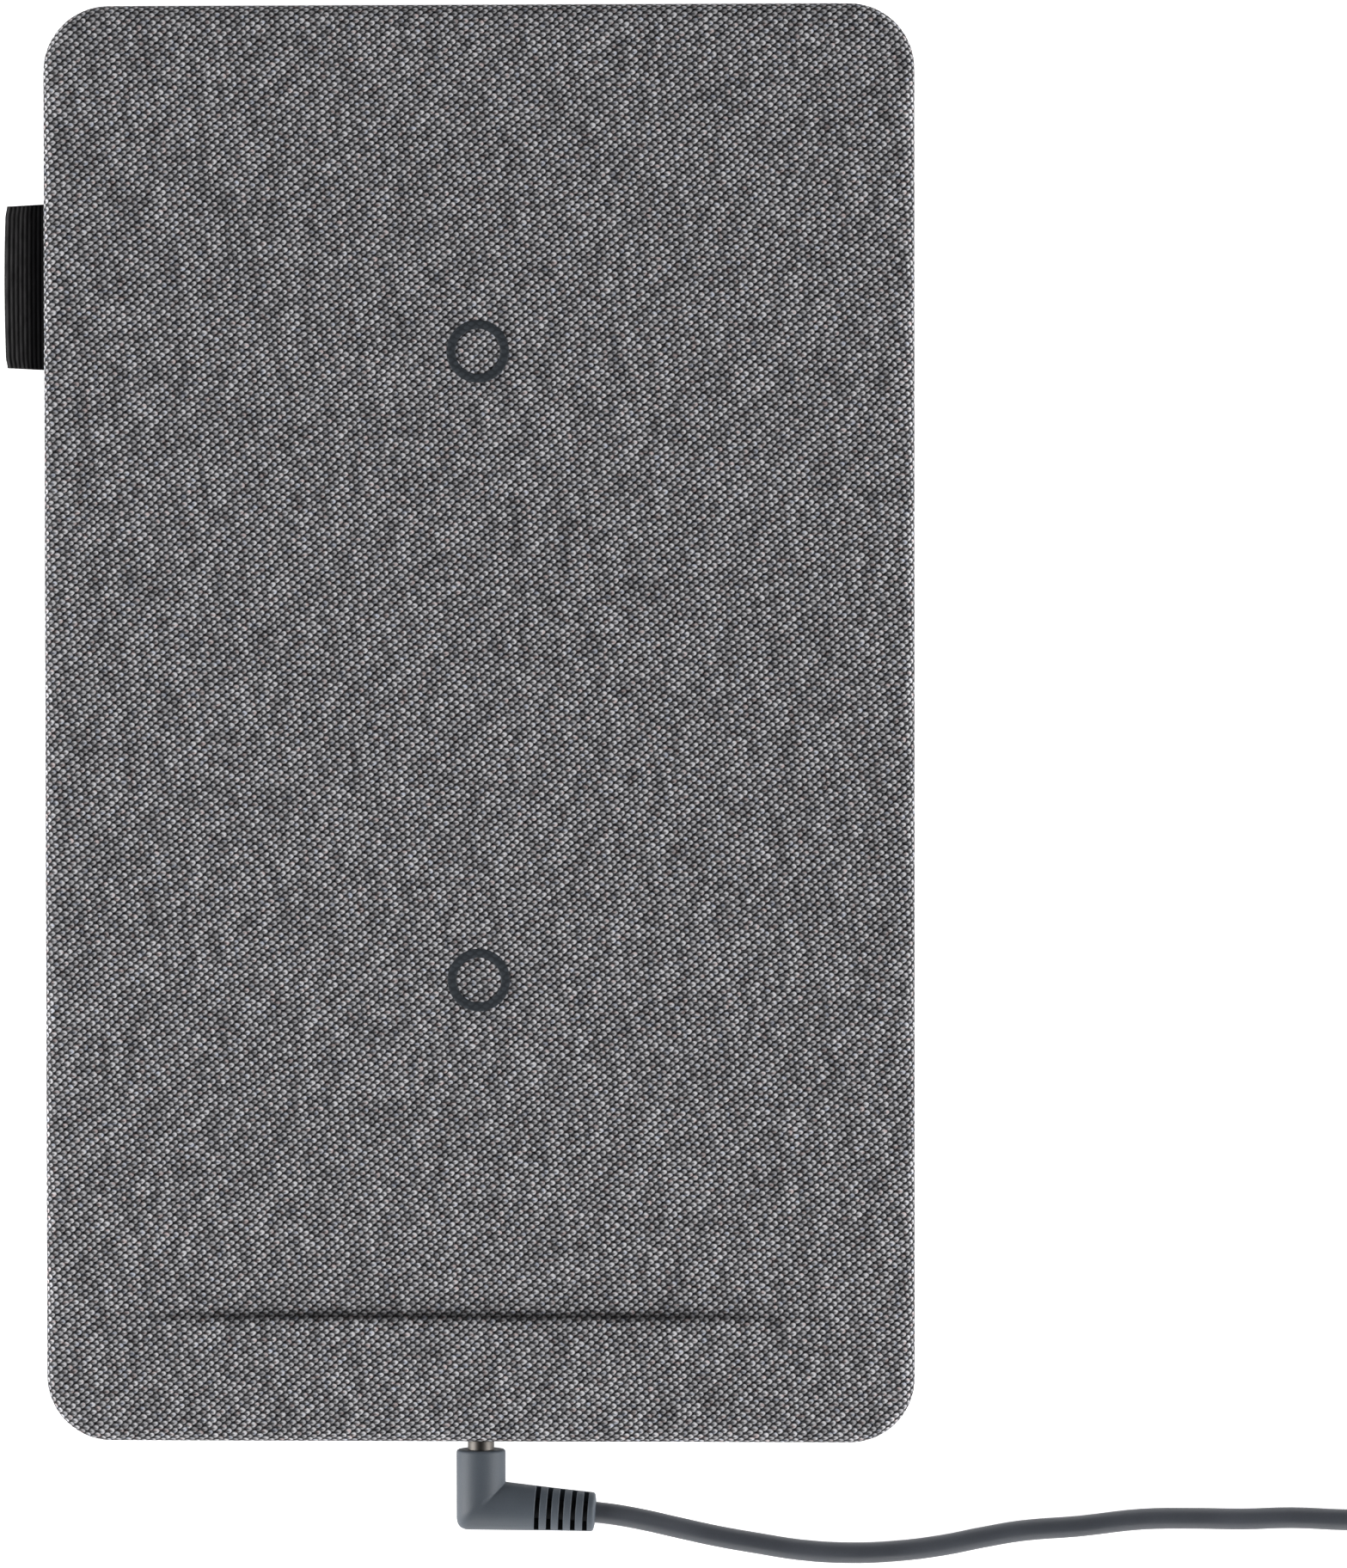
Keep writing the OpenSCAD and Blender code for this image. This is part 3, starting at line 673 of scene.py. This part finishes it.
def drop_loose_points(piece):
    """Removes points that no face uses; the stored attributes stay on the rest."""
    material = piece.data.materials[0]
    used = bpy.data.meshes.new(piece.name)
    bm = bmesh.new()
    bm.from_mesh(piece.data)
    bmesh.ops.delete(bm, geom=[v for v in bm.verts if not v.link_faces], context="VERTS")
    bm.to_mesh(used)
    bm.free()
    used.materials.append(material)
    piece.data = used


def build_cover():
    """One cloth over strip and panel, wrapped round the edges and pinched at the fold."""
    verts = [(x, y, TOP_Z + top_relief(x, y)) for y in GRID_Y for x in GRID_X]
    flat = [(x, y) for y in GRID_Y for x in GRID_X]
    across = len(GRID_X)
    faces = []
    for j in range(len(GRID_Y) - 1):
        for i in range(across - 1):
            a = j * across + i
            faces.append((a, a + 1, a + across + 1, a + across))
    stations = border_stations()
    profile = border_profile()
    rings = border_rings(stations, profile, verts, flat)
    faces += border_faces(stations, profile, rings)
    faces = open_jack_hole(verts, faces)

    cover = add_piece("cover_cloth", verts, faces, weave("cover_weave"), None)
    keep_cloth(cover, flat)
    # painted shade of the crease, kept on the top's points for the weave's colour
    painted_crease_shade = cover.data.attributes.new("painted_crease_shade", "FLOAT", "POINT")
    on_top = TOP_Z - 3
    painted_crease_shade.data.foreach_set("value", [crease_painted_shade(x, y) if z > on_top else 0.0 for x, y, z in verts])
    drop_loose_points(cover)
    thicken(cover, CLOTH_T)
    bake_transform(cover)
    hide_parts("strip_cover", "panel_cover")


def marker_slate(name):
    """Slate print that the weave still shows through."""
    s = Shader(name, roughness=0.62, specular_ior_level=0.3)
    _, cell, _, _, out = weave_cells(s, s.stored("cloth"))
    hump = s.spread(out, 1.05, 0.4)
    tone = s.math("MULTIPLY", hump, s.spread(s.white(cell), 0, 1, 0.5, 1.0, False))
    s.set("Base Color", s.mix(tone, (0.015, 0.019, 0.024), (0.034, 0.041, 0.050)))
    s.set("Normal", s.bump(hump, 0.06 * MM))
    return s.material


def build_marker(name, node, spot, material):
    """Flat ring pressed into the cloth, its edges rolled over."""
    cx, cy = spot
    across = MARKER_STROKE / 2
    centre_r = MARKER_R - across
    edge_z = TOP_Z - 0.14
    foot_z = TOP_Z - 0.34
    crown = 0.22
    section = []
    for a in steps(0, 180, 20):
        t = math.radians(a)
        rise = crown * math.sin(t) ** 0.5 if 0 < a < 180 else 0.0
        section.append((centre_r + across * math.cos(t), edge_z + rise))
    section += [(centre_r - across, foot_z), (centre_r + across, foot_z)]
    verts, flat, faces = [], [], []
    turns = ring_points(96)
    for t in turns:
        for r, z in section:
            x, y = cx + r * math.cos(t), cy + r * math.sin(t)
            verts.append((x, y, z + swell(x, y)))
            flat.append((x, y))
    n = len(section)
    for i in range(len(turns)):
        for k in range(n):
            j = (i + 1) % len(turns)
            m = (k + 1) % n
            faces.append((i * n + k, j * n + k, j * n + m, i * n + m))
    ring = add_piece(name, verts, faces, material, "charging_panel")
    keep_cloth(ring, flat)
    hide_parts(node)


# -------------------- ribbon label

def build_ribbon():
    """Ribbon folded double, both ends in the seam, its corners drawn a little back."""
    lo, hi = [[c / MM for c in corner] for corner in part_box("ribbon_label")]
    layer = 0.5
    mid_z = (lo[2] + hi[2]) / 2
    gap = (hi[2] - lo[2]) / 2 - layer / 2
    root = hi[0] - 0.2
    bend = lo[0] + gap + layer
    path = [(x, mid_z - gap) for x in reversed(steps(bend, root, 0.2))]
    for a in steps(-90, 90, 20)[1:-1]:
        t = math.radians(a)
        path.append((bend - (gap + layer / 2) * math.cos(t), mid_z + gap * math.sin(t)))
    path += [(x, mid_z + gap) for x in steps(bend, root, 0.2)]
    length = [0.0]
    for p, q in zip(path, path[1:]):
        length.append(length[-1] + math.dist(p, q))
    columns = steps(-1, 1, 1 / 30)
    half = (hi[1] - lo[1]) / 2
    mid_y = (hi[1] + lo[1]) / 2
    verts, flat = [], []
    for (x, z), run in zip(path, length):
        out = (root - x) / (root - lo[0])
        rib = 0.05 * math.cos(2 * math.pi * run / RIB_PITCH)
        side = 1 if z > mid_z else -1
        taper = half * (1.012 - 0.028 * out)
        for v in columns:
            bow = -0.30 * (1 - v * v) * out + 0.30 * smooth((abs(v) - 0.86) / 0.14) * out
            lift = 0.12 * out * math.sin(2.3 * v + 0.6)
            verts.append((x + bow, mid_y + v * taper, z + side * rib + lift))
            flat.append((run, v * half))
    faces = strip_faces(len(path), len(columns))
    ribbon = add_piece("ribbon_tab", verts, faces, ribbed_ribbon("grosgrain"), None)
    keep_cloth(ribbon, flat)
    thicken(ribbon, layer * 0.8, offset=0.0)
    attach(ribbon, "charging_panel")
    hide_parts("ribbon_label")


# -------------------- plug

GRIP_R = 5.1
GRIP_END_R = 4.05
GRIP_LEAN = math.radians(3.6)
GRIP_LEG = 23.6
GRIP_TOP_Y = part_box("plug_overmold")[1][1] / MM
GRIP_AXIS = (0.0, GRIP_TOP_Y - 11.5, JACK_Z)
GRIP_TURNS = ring_points(96)
# Slots across the cord leg: how far along it each is, its half width, its eased lip, its wall's slant,
# the radius it is cut down to, and the turns round the leg between which it is open, on both sides
SLOT_X = [11.8 + 2.5 * i for i in range(5)]
SLOT_HALF = 0.50
SLOT_LIP = 0.13
SLOT_WALL = 0.03
SLOT_CORE = 2.15
SLOT_ENDS = (math.radians(7), math.radians(155))
# (radius, distance from the barrel's end) over its rolled rim
BARREL_RIM = ((2.6, 0.25), (3.2, 0.0), (4.5, 0.0), (4.80, 0.06), (5.0, 0.22), (5.08, 0.45), (GRIP_R, 0.8))
# (distance along the cord leg, radius taken off) over its rounded end
LEG_END = ((22.9, 0.0), (23.25, 0.06), (23.5, 0.22), (23.62, 0.5), (23.75, 1.2), (23.85, 1.9))


def skin(rings):
    """Verts and faces of a closed skin through rings with the same number of points."""
    verts = [point for ring in rings for point in ring]
    n = len(rings[0])
    faces = []
    for i in range(len(rings) - 1):
        for k in range(n):
            m = (k + 1) % n
            faces.append((i * n + k, i * n + m, (i + 1) * n + m, (i + 1) * n + k))
    faces.append(tuple(reversed(range(n))))
    faces.append(tuple((len(rings) - 1) * n + k for k in range(n)))
    return verts, faces


def keep_crisp(piece, degrees=38):
    """Points the faces outwards and leaves their sharp edges unsmoothed."""
    bm = bmesh.new()
    bm.from_mesh(piece.data)
    bmesh.ops.recalc_face_normals(bm, faces=bm.faces)
    bm.to_mesh(piece.data)
    bm.free()
    piece.data.set_sharp_from_angle(angle=math.radians(degrees))


def grip_radius(along):
    """Half height of the cord leg at a distance along it from where the two legs' axes cross."""
    return GRIP_R + (GRIP_END_R - GRIP_R) * (along + GRIP_R) / (GRIP_LEG + GRIP_R)


def grip_widen(along):
    """How much wider than high the cord leg is; it is round again at its end."""
    return 1 + 0.085 * (1 - smooth((along + 6) / 30))


def leg_point(along, turn, radius):
    """Point on the cord leg; a turn of 0 is its side towards the pad."""
    x, y, z = GRIP_AXIS
    side = radius * math.cos(turn) * grip_widen(along)
    return Vector((x + along * math.cos(GRIP_LEAN) + side * math.sin(GRIP_LEAN),
                   y - along * math.sin(GRIP_LEAN) + side * math.cos(GRIP_LEAN),
                   z + radius * math.sin(turn)))


def barrel_point(y, turn, radius):
    """Point on the leg that points at the pad; a turn of 0 is its side towards the cord."""
    return Vector((GRIP_AXIS[0] + radius * math.cos(turn), y, GRIP_AXIS[2] + radius * math.sin(turn)))


def in_slot(turn):
    """Whether a slot is open at this turn round the cord leg."""
    folded = abs((turn + math.pi) % (2 * math.pi) - math.pi)
    return SLOT_ENDS[0] < folded < SLOT_ENDS[1]


def leg_ring(along, sink=0.0, core=None):
    """Ring round the cord leg; in the slots' turns sunk by sink, or cut down to core."""
    ring = []
    for turn in GRIP_TURNS:
        radius = grip_radius(along)
        if in_slot(turn):
            radius = core or radius - sink
        ring.append(leg_point(along, turn, radius))
    return ring


def corner_rings():
    """Rings from the barrel over the mitred corner to the cord leg, eased most on its outside."""
    lead = 0.25
    corners = []
    for t in GRIP_TURNS:
        mitre = GRIP_R - grip_radius(GRIP_R) * math.sin(GRIP_LEAN)
        along = mitre * math.cos(t) / math.cos(GRIP_LEAN)
        end = leg_point(along, t, grip_radius(along))
        outward = (1 - math.cos(t)) / 2
        corners.append((t, along, end.y, 0.14 + 2.5 * outward ** 2))
    lead_in = [barrel_point(y + ease + lead, t, GRIP_R) for t, _, y, ease in corners]
    half_way = [barrel_point((p.y + GRIP_TOP_Y) / 2, t, GRIP_R) for p, t in zip(lead_in, GRIP_TURNS)]
    rings = [half_way, lead_in]
    for q in steps(0, 1, 1 / 8):
        ring = []
        for t, along, y, ease in corners:
            first = barrel_point(y + ease, t, GRIP_R)
            last = leg_point(along + ease, t, grip_radius(along + ease))
            middle = Vector((first.x, y, (first.z + last.z) / 2))
            ring.append(first * (1 - q) ** 2 + middle * 2 * q * (1 - q) + last * q * q)
        rings.append(ring)
    rings.append([leg_point(along + ease + lead, t, grip_radius(along + ease + lead))
                  for t, along, _, ease in corners])
    return rings


def build_grip(material, slot_shade_material):
    """Right-angle overmould: barrel leg, mitred corner rounded on its outside, slotted cord leg with
    near-black slot floors as painted shade.
    """
    rings = [[barrel_point(GRIP_TOP_Y - drop, t, radius) for t in GRIP_TURNS]
             for radius, drop in BARREL_RIM]
    rings += corner_rings()
    rings += [leg_ring(along) for along in (6.6, 9.0)]
    slot_rings = []
    for x in SLOT_X:
        rings += [leg_ring(x - SLOT_HALF - SLOT_LIP), leg_ring(x - SLOT_HALF, SLOT_LIP)]
        slot_rings.append(len(rings))
        rings += [leg_ring(x + side * (SLOT_HALF - SLOT_WALL), core=SLOT_CORE) for side in (-1, 1)]
        rings += [leg_ring(x + SLOT_HALF, SLOT_LIP), leg_ring(x + SLOT_HALF + SLOT_LIP)]
    for along, off in LEG_END:
        rings.append([leg_point(along, t, grip_radius(along) - off) for t in GRIP_TURNS])
    verts, faces = skin(rings)
    grip = add_piece("plug_grip", verts, faces, material, "cord_set")
    grip.data.materials.append(slot_shade_material)
    # painted shade: the slots' floors take the near-black material, though the plastic there is the
    # grip's own
    for first in slot_rings:
        for k, turn in enumerate(GRIP_TURNS):
            if in_slot(turn):
                grip.data.polygons[first * len(GRIP_TURNS) + k].material_index = 1
    keep_crisp(grip)
    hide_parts("plug_overmold")
    return grip


# -------------------- lead

# Millimetres, apart from the length, in metres
CORD_D = 4.4
LIE_Z = 2.25
ROUTE = [
    (23.4, -163.4, 5.2), (28, -164, 4.9), (34, -165.2, 4.05), (41, -166.9, 3.1), (49, -168.7, 2.5),
    (57.5, -170.2, LIE_Z), (66, -171.5, LIE_Z), (76, -172.1, LIE_Z), (86, -171.7, LIE_Z),
    (95.5, -170.5, LIE_Z), (104, -168.8, LIE_Z), (112, -167.4, LIE_Z), (124, -166.4, LIE_Z),
    (137, -164.9, LIE_Z), (148, -164.7, LIE_Z), (158, -164.8, LIE_Z), (168, -164.5, LIE_Z),
    (179, -164.9, LIE_Z), (193, -165, 2.5), (206, -165, 2.8),
]
# The winding, in two layers of so many turns
COIL_CENTRE = (220, -131.7)
COIL_MEAN_R = 24.5
COIL_TURNS = 4
COIL_Z = 2.8
POINTS_PER_TURN = 24
TAIL = [(253.3, -128, 7.1), (254.2, -120, 7), (255, -112, 7), (255, -106, 7)]
RUN_ON = [(255, -96, 7), (255, -86, 7)]


def coil_points():
    """Two layers of turns, wound in on the table and back out on top."""
    cx, cy = COIL_CENTRE
    outer = COIL_MEAN_R + CORD_D * COIL_TURNS / 2
    points = []
    for i in range(2 * COIL_TURNS * POINTS_PER_TURN + POINTS_PER_TURN // 4 - 1):
        turn = i / POINTS_PER_TURN
        radius = outer - CORD_D * (turn if turn < COIL_TURNS else 2 * COIL_TURNS - turn)
        radius = min(radius, outer)
        lift = CORD_D * smooth((turn - COIL_TURNS + 0.3) / 0.6)
        angle = 2 * math.pi * turn - math.pi / 2
        points.append((cx + radius * math.cos(angle), cy + radius * math.sin(angle), COIL_Z + lift))
    return points


def build_cord(material):
    """The lead: along the table, through the winding, and on into the adapter's relief."""
    points = ROUTE + coil_points() + TAIL + RUN_ON
    curve = bpy.data.curves.new("lead", "CURVE")
    curve.dimensions = "3D"
    curve.bevel_depth = CORD_D / 2 * MM
    curve.bevel_resolution = 5
    curve.resolution_u = 4
    curve.use_fill_caps = True
    spline = curve.splines.new("BEZIER")
    spline.bezier_points.add(len(points) - 1)
    for knot, place in zip(spline.bezier_points, points):
        knot.co = Vector(place) * MM
        knot.handle_left_type = knot.handle_right_type = "AUTO"
    curve.materials.append(material)
    lead = bpy.data.objects.new("lead", curve)
    bpy.context.scene.collection.objects.link(lead)
    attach(lead, "cord_set")
    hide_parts("cord_run", "cord_coil", "cord_tail")
    return lead


def tie_path():
    """The strap's run in X and Z, from under its lap once round the winding and over itself."""
    half_run = 10.3
    round_r = 2.2
    clear = 0.3
    lap = 0.75
    mid_x = COIL_CENTRE[0] - COIL_MEAN_R
    low, high = COIL_Z - CORD_D / 2 - clear, COIL_Z + 1.5 * CORD_D + clear
    right, left = mid_x + half_run - round_r, mid_x - half_run + round_r
    path = [(right - 5 + 5 * i / 4, high) for i in range(4)]
    for px, pz, start in ((right, high - round_r, 90), (right, low + round_r, 0),
                          (left, low + round_r, -90), (left, high - round_r, -180)):
        for a in steps(0, 90, 15):
            t = math.radians(start - a)
            path.append((px + round_r * math.cos(t), pz + round_r * math.sin(t)))
    top_run = 2 * (half_run - round_r)
    for step in steps(0, top_run - 2.5, 1.0)[1:]:
        path.append((left + step, high + lap * smooth(step / (top_run - 9))))
    return path


def build_tie(material):
    """Hook-and-loop strap round the winding, its end lapped over on top."""
    half_width = 5.0
    path = tie_path()
    columns = steps(-1, 1, 0.25)
    verts = []
    for i, (x, z) in enumerate(path):
        narrow = min(1.0, (len(path) - 1 - i) / 2 + 0.6)
        for v in columns:
            curl = 0.16 * abs(v) ** 3 * math.sin(i * 0.35)
            verts.append((x, COIL_CENTRE[1] + v * half_width * narrow, z + curl))
    tie = add_piece("lead_tie", verts, strip_faces(len(path), len(columns)), material, None)
    thicken(tie, 0.6, offset=0.0)
    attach(tie, "cord_set")
    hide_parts("cord_tie")
    return tie


# -------------------- adapter

def rounded_rectangle(half_w, half_h, radius):
    """Points of a rounded rectangle round (0, 0), anticlockwise, with some along its straight sides."""
    per_side = 4
    points = []
    for cx, cy, start in ((half_w, half_h, 0), (-half_w, half_h, 90),
                          (-half_w, -half_h, 180), (half_w, -half_h, 270)):
        px = cx - math.copysign(radius, cx)
        py = cy - math.copysign(radius, cy)
        for a in steps(0, 90, 15):
            t = math.radians(start + a)
            points.append((px + radius * math.cos(t), py + radius * math.sin(t)))
    full = []
    for p, q in zip(points, points[1:] + points[:1]):
        full.append(p)
        if math.dist(p, q) > 3:
            full += [(p[0] + (q[0] - p[0]) * i / per_side, p[1] + (q[1] - p[1]) * i / per_side)
                     for i in range(1, per_side)]
    return full


def groove(y, top, floor, depth):
    """(y, inset) round one groove: half widths at its top and floor, and its depth."""
    return [(y - top, 0.0), (y - floor, depth), (y + floor, depth), (y + top, 0.0)]


def build_adapter_case(material):
    """Case with eased edges, a parting line, grip grooves at its cord end and a framed blade face."""
    rear_lo, rear_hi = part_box("adapter_case_rear")
    front_lo, front_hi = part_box("adapter_case_front")
    mid_x = (rear_lo[0] + rear_hi[0]) / 2 / MM
    half_w = (rear_hi[0] - rear_lo[0]) / 2 / MM
    half_h = (rear_hi[2] - rear_lo[2]) / 2 / MM
    y0, y1 = rear_lo[1] / MM, front_hi[1] / MM
    split = (rear_hi[1] + front_lo[1]) / 2 / MM
    corner_r = 5.5
    quarter = [math.radians(a) for a in steps(0, 90, 15)]
    profile = [(y0 + 0.9, 7.5), (y0 + 0.35, 5.0)]
    profile += [(y0 + 3 - 3 * math.cos(t), 3 - 3 * math.sin(t)) for t in quarter]
    for i in range(5):
        profile += groove(y0 + 6.0 + 2.4 * i, 0.75, 0.4, 0.42)
    profile += groove(split, 0.45, 0.28, 0.30)
    profile += [(y1 - 2 + 2 * math.sin(t), 2 - 2 * math.cos(t)) for t in quarter]
    profile += [(y1, 3.4), (y1 - 0.5, 3.8), (y1 - 0.5, 6.0)]
    rings = []
    for y, inset in profile:
        outline = rounded_rectangle(half_w - inset, half_h - inset, max(corner_r - inset * 0.6, 1.0))
        rings.append([(mid_x + px, y, half_h + pz) for px, pz in outline])
    verts, faces = skin(rings)
    case = add_piece("adapter_case", verts, faces, material, "cord_set")
    keep_crisp(case, 32)
    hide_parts("adapter_case_rear", "adapter_case_front")
    return case


def build_strain_relief(material):
    """Tapered relief where the lead enters the adapter, with ring grooves."""
    lo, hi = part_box("adapter_strain_relief")
    x = (lo[0] + hi[0]) / 2 / MM
    z = (lo[2] + hi[2]) / 2 / MM
    y0, y1 = lo[1] / MM, hi[1] / MM
    wide = (hi[0] - lo[0]) / 2 / MM
    narrow = CORD_D / 2 + 0.6

    def radius(y):
        return narrow + (wide - narrow) * (y - y0) / (y1 - y0)

    profile = [(y0, narrow - 0.45), (y0 + 0.1, narrow - 0.12), (y0 + 0.4, radius(y0 + 0.4))]
    for i in range(6):
        y = y0 + 3.2 + 2.7 * i
        cut = radius(y) - 0.8
        profile += [(y - 0.6, radius(y)), (y - 0.5, cut), (y + 0.5, cut), (y + 0.6, radius(y))]
    profile += [(y1 - 1.6, radius(y1)), (y1 - 0.7, radius(y1) + 0.2), (y1 + 0.6, radius(y1) + 1.1)]
    rings = [[(x + r * math.cos(t), y, z + r * math.sin(t)) for t in ring_points(40)] for y, r in profile]
    verts, faces = skin(rings)
    relief = add_piece("strain_relief", verts, faces, material, "cord_set")
    keep_crisp(relief)
    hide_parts("adapter_strain_relief")
    return relief


def build_blades(material):
    """The two flat contacts, tips chamfered, each with its latch hole."""
    lo, hi = [[c / MM for c in corner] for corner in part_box("adapter_blades")]
    half_w, half_t = (hi[2] - lo[2]) / 2, 0.75
    mid_z = (lo[2] + hi[2]) / 2
    y0, y1 = lo[1], hi[1]
    hole_y, hole_r = y1 - 4.2, 1.75
    outline = [(y0, -half_w), (y1 - 2.2, -half_w), (y1 - 0.4, -half_w + 1.5), (y1, -half_w + 2.2),
               (y1, half_w - 2.2), (y1 - 0.4, half_w - 1.5), (y1 - 2.2, half_w), (y0, half_w)]
    hole = [(hole_y + hole_r * math.cos(t), hole_r * math.sin(t)) for t in ring_points(28)]
    blades = []
    for name, x in (("blade_left", lo[0] + half_t), ("blade_right", hi[0] - half_t)):
        bm = bmesh.new()
        edges = []
        for ring in (outline, hole):
            points = [bm.verts.new((x - half_t, py, mid_z + pz)) for py, pz in ring]
            edges += [bm.edges.new(ends) for ends in zip(points, points[1:] + points[:1])]
        filled = bmesh.ops.triangle_fill(bm, edges=edges, use_beauty=True)["geom"]
        flats = [g for g in filled if isinstance(g, bmesh.types.BMFace)]
        raised = bmesh.ops.extrude_face_region(bm, geom=flats)["geom"]
        tops = [g for g in raised if isinstance(g, bmesh.types.BMVert)]
        bmesh.ops.translate(bm, verts=tops, vec=(2 * half_t, 0, 0))
        bmesh.ops.recalc_face_normals(bm, faces=bm.faces)
        mesh = bpy.data.meshes.new("blade")
        bm.to_mesh(mesh)
        bm.free()
        mesh.transform(Matrix.Scale(MM, 4))
        mesh.materials.append(material)
        blade = bpy.data.objects.new(name, mesh)
        bpy.context.scene.collection.objects.link(blade)
        bevel = blade.modifiers.new("edges", "BEVEL")
        bevel.width = 0.22 * MM
        bevel.segments = 2
        bevel.limit_method = "ANGLE"
        apply_modifiers(blade)
        blade.data.set_sharp_from_angle(angle=math.radians(35))
        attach(blade, "cord_set")
        blades.append(blade)
    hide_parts("adapter_blades")
    return blades


# -------------------- build

add_camera()
add_stage()
add_light()

LEAD_MATERIAL = moulded("lead_vinyl", (0.046, 0.051, 0.062), 0.5, 1400, 0.012)
CASE_MATERIAL = moulded("adapter_shell", (0.020, 0.021, 0.024), 0.5, 700, 0.03)
lead = build_cord(LEAD_MATERIAL)
# the grip's second material is painted shade for its slot floors
grip = build_grip(moulded("grip_vinyl", (0.060, 0.073, 0.090), 0.62, 2600, 0.03, 0.16),
                  moulded("grip_slot", (0.006, 0.007, 0.009), 0.8, 2600, 0.03))
tie = build_tie(moulded("tie_loop", (0.012, 0.012, 0.014), 0.9, 1500, 0.15))
case = build_adapter_case(CASE_MATERIAL)
relief = build_strain_relief(CASE_MATERIAL)
blades = build_blades(metal("blade_plate", (0.46, 0.44, 0.39), 0.34))
build_cover()
MARKER_MATERIAL = marker_slate("marker_print")
build_marker("front_ring", "front_marker", MARKER_SPOTS[0], MARKER_MATERIAL)
build_marker("rear_ring", "rear_marker", MARKER_SPOTS[1], MARKER_MATERIAL)
build_ribbon()

# Finishes of the CAD nodes that show as they are, by their material slot
FINISHES = {
    "shell_plastic": moulded("shell_plastic", (0.045, 0.048, 0.052), 0.5),
    "base_rubber": moulded("base_rubber", (0.016, 0.016, 0.018), 0.75, 500, 0.05),
    "foam": moulded("foam_sheet", (0.02, 0.021, 0.023), 0.9, 700, 0.12),
    "screw_steel": metal("screw_zinc", (0.55, 0.56, 0.58)),
    "circuit_board": board_green("solder_mask"),
    "chip_black": moulded("chip_epoxy", (0.014, 0.015, 0.017), 0.55),
    "inductor_grey": moulded("inductor_body", (0.07, 0.07, 0.075), 0.6),
    "capacitor_film": moulded("capacitor_body", (0.48, 0.25, 0.045), 0.4),
    "connector_white": moulded("connector_nylon", (0.68, 0.66, 0.56), 0.45),
    "flex_amber": moulded("flex_polyimide", (0.46, 0.17, 0.025), 0.3),
    "jack_black": moulded("jack_nylon", (0.009, 0.009, 0.010), 0.35),
    "contact_brass": metal("contact_plate", (0.60, 0.52, 0.38)),
    "sleeve_nickel": metal("sleeve_plate", (0.13, 0.12, 0.11), 0.48),
    "insulator_black": moulded("tip_plastic", (0.010, 0.010, 0.012), 0.4),
    "transformer_tape": moulded("transformer_wrap", (0.62, 0.43, 0.05), 0.35),
    "capacitor_sleeve": moulded("capacitor_shrink", (0.025, 0.045, 0.10), 0.3),
    "frame_grey": moulded("seat_plastic", (0.26, 0.27, 0.29), 0.5),
    "ferrite": moulded("ferrite_plate", (0.030, 0.028, 0.030), 0.45),
    "litz_copper": metal("litz_wire", (0.60, 0.26, 0.10), 0.35),
    "thermistor_blue": moulded("thermistor_coat", (0.03, 0.14, 0.26), 0.3),
}
for part in frame["record"]["subparts"]:
    finish = FINISHES.get(part["material_slot"])
    if finish:
        for material_slot in frame["nodes"][part["node"]].material_slots:
            material_slot.material = finish

CORD_PIECES = [frame["nodes"][name] for name in (
    "plug_sleeve", "plug_insulator", "plug_contact", "adapter_board", "adapter_transformer",
    "adapter_capacitor")]
CORD_PIECES += [grip, tie, case, relief, *blades]
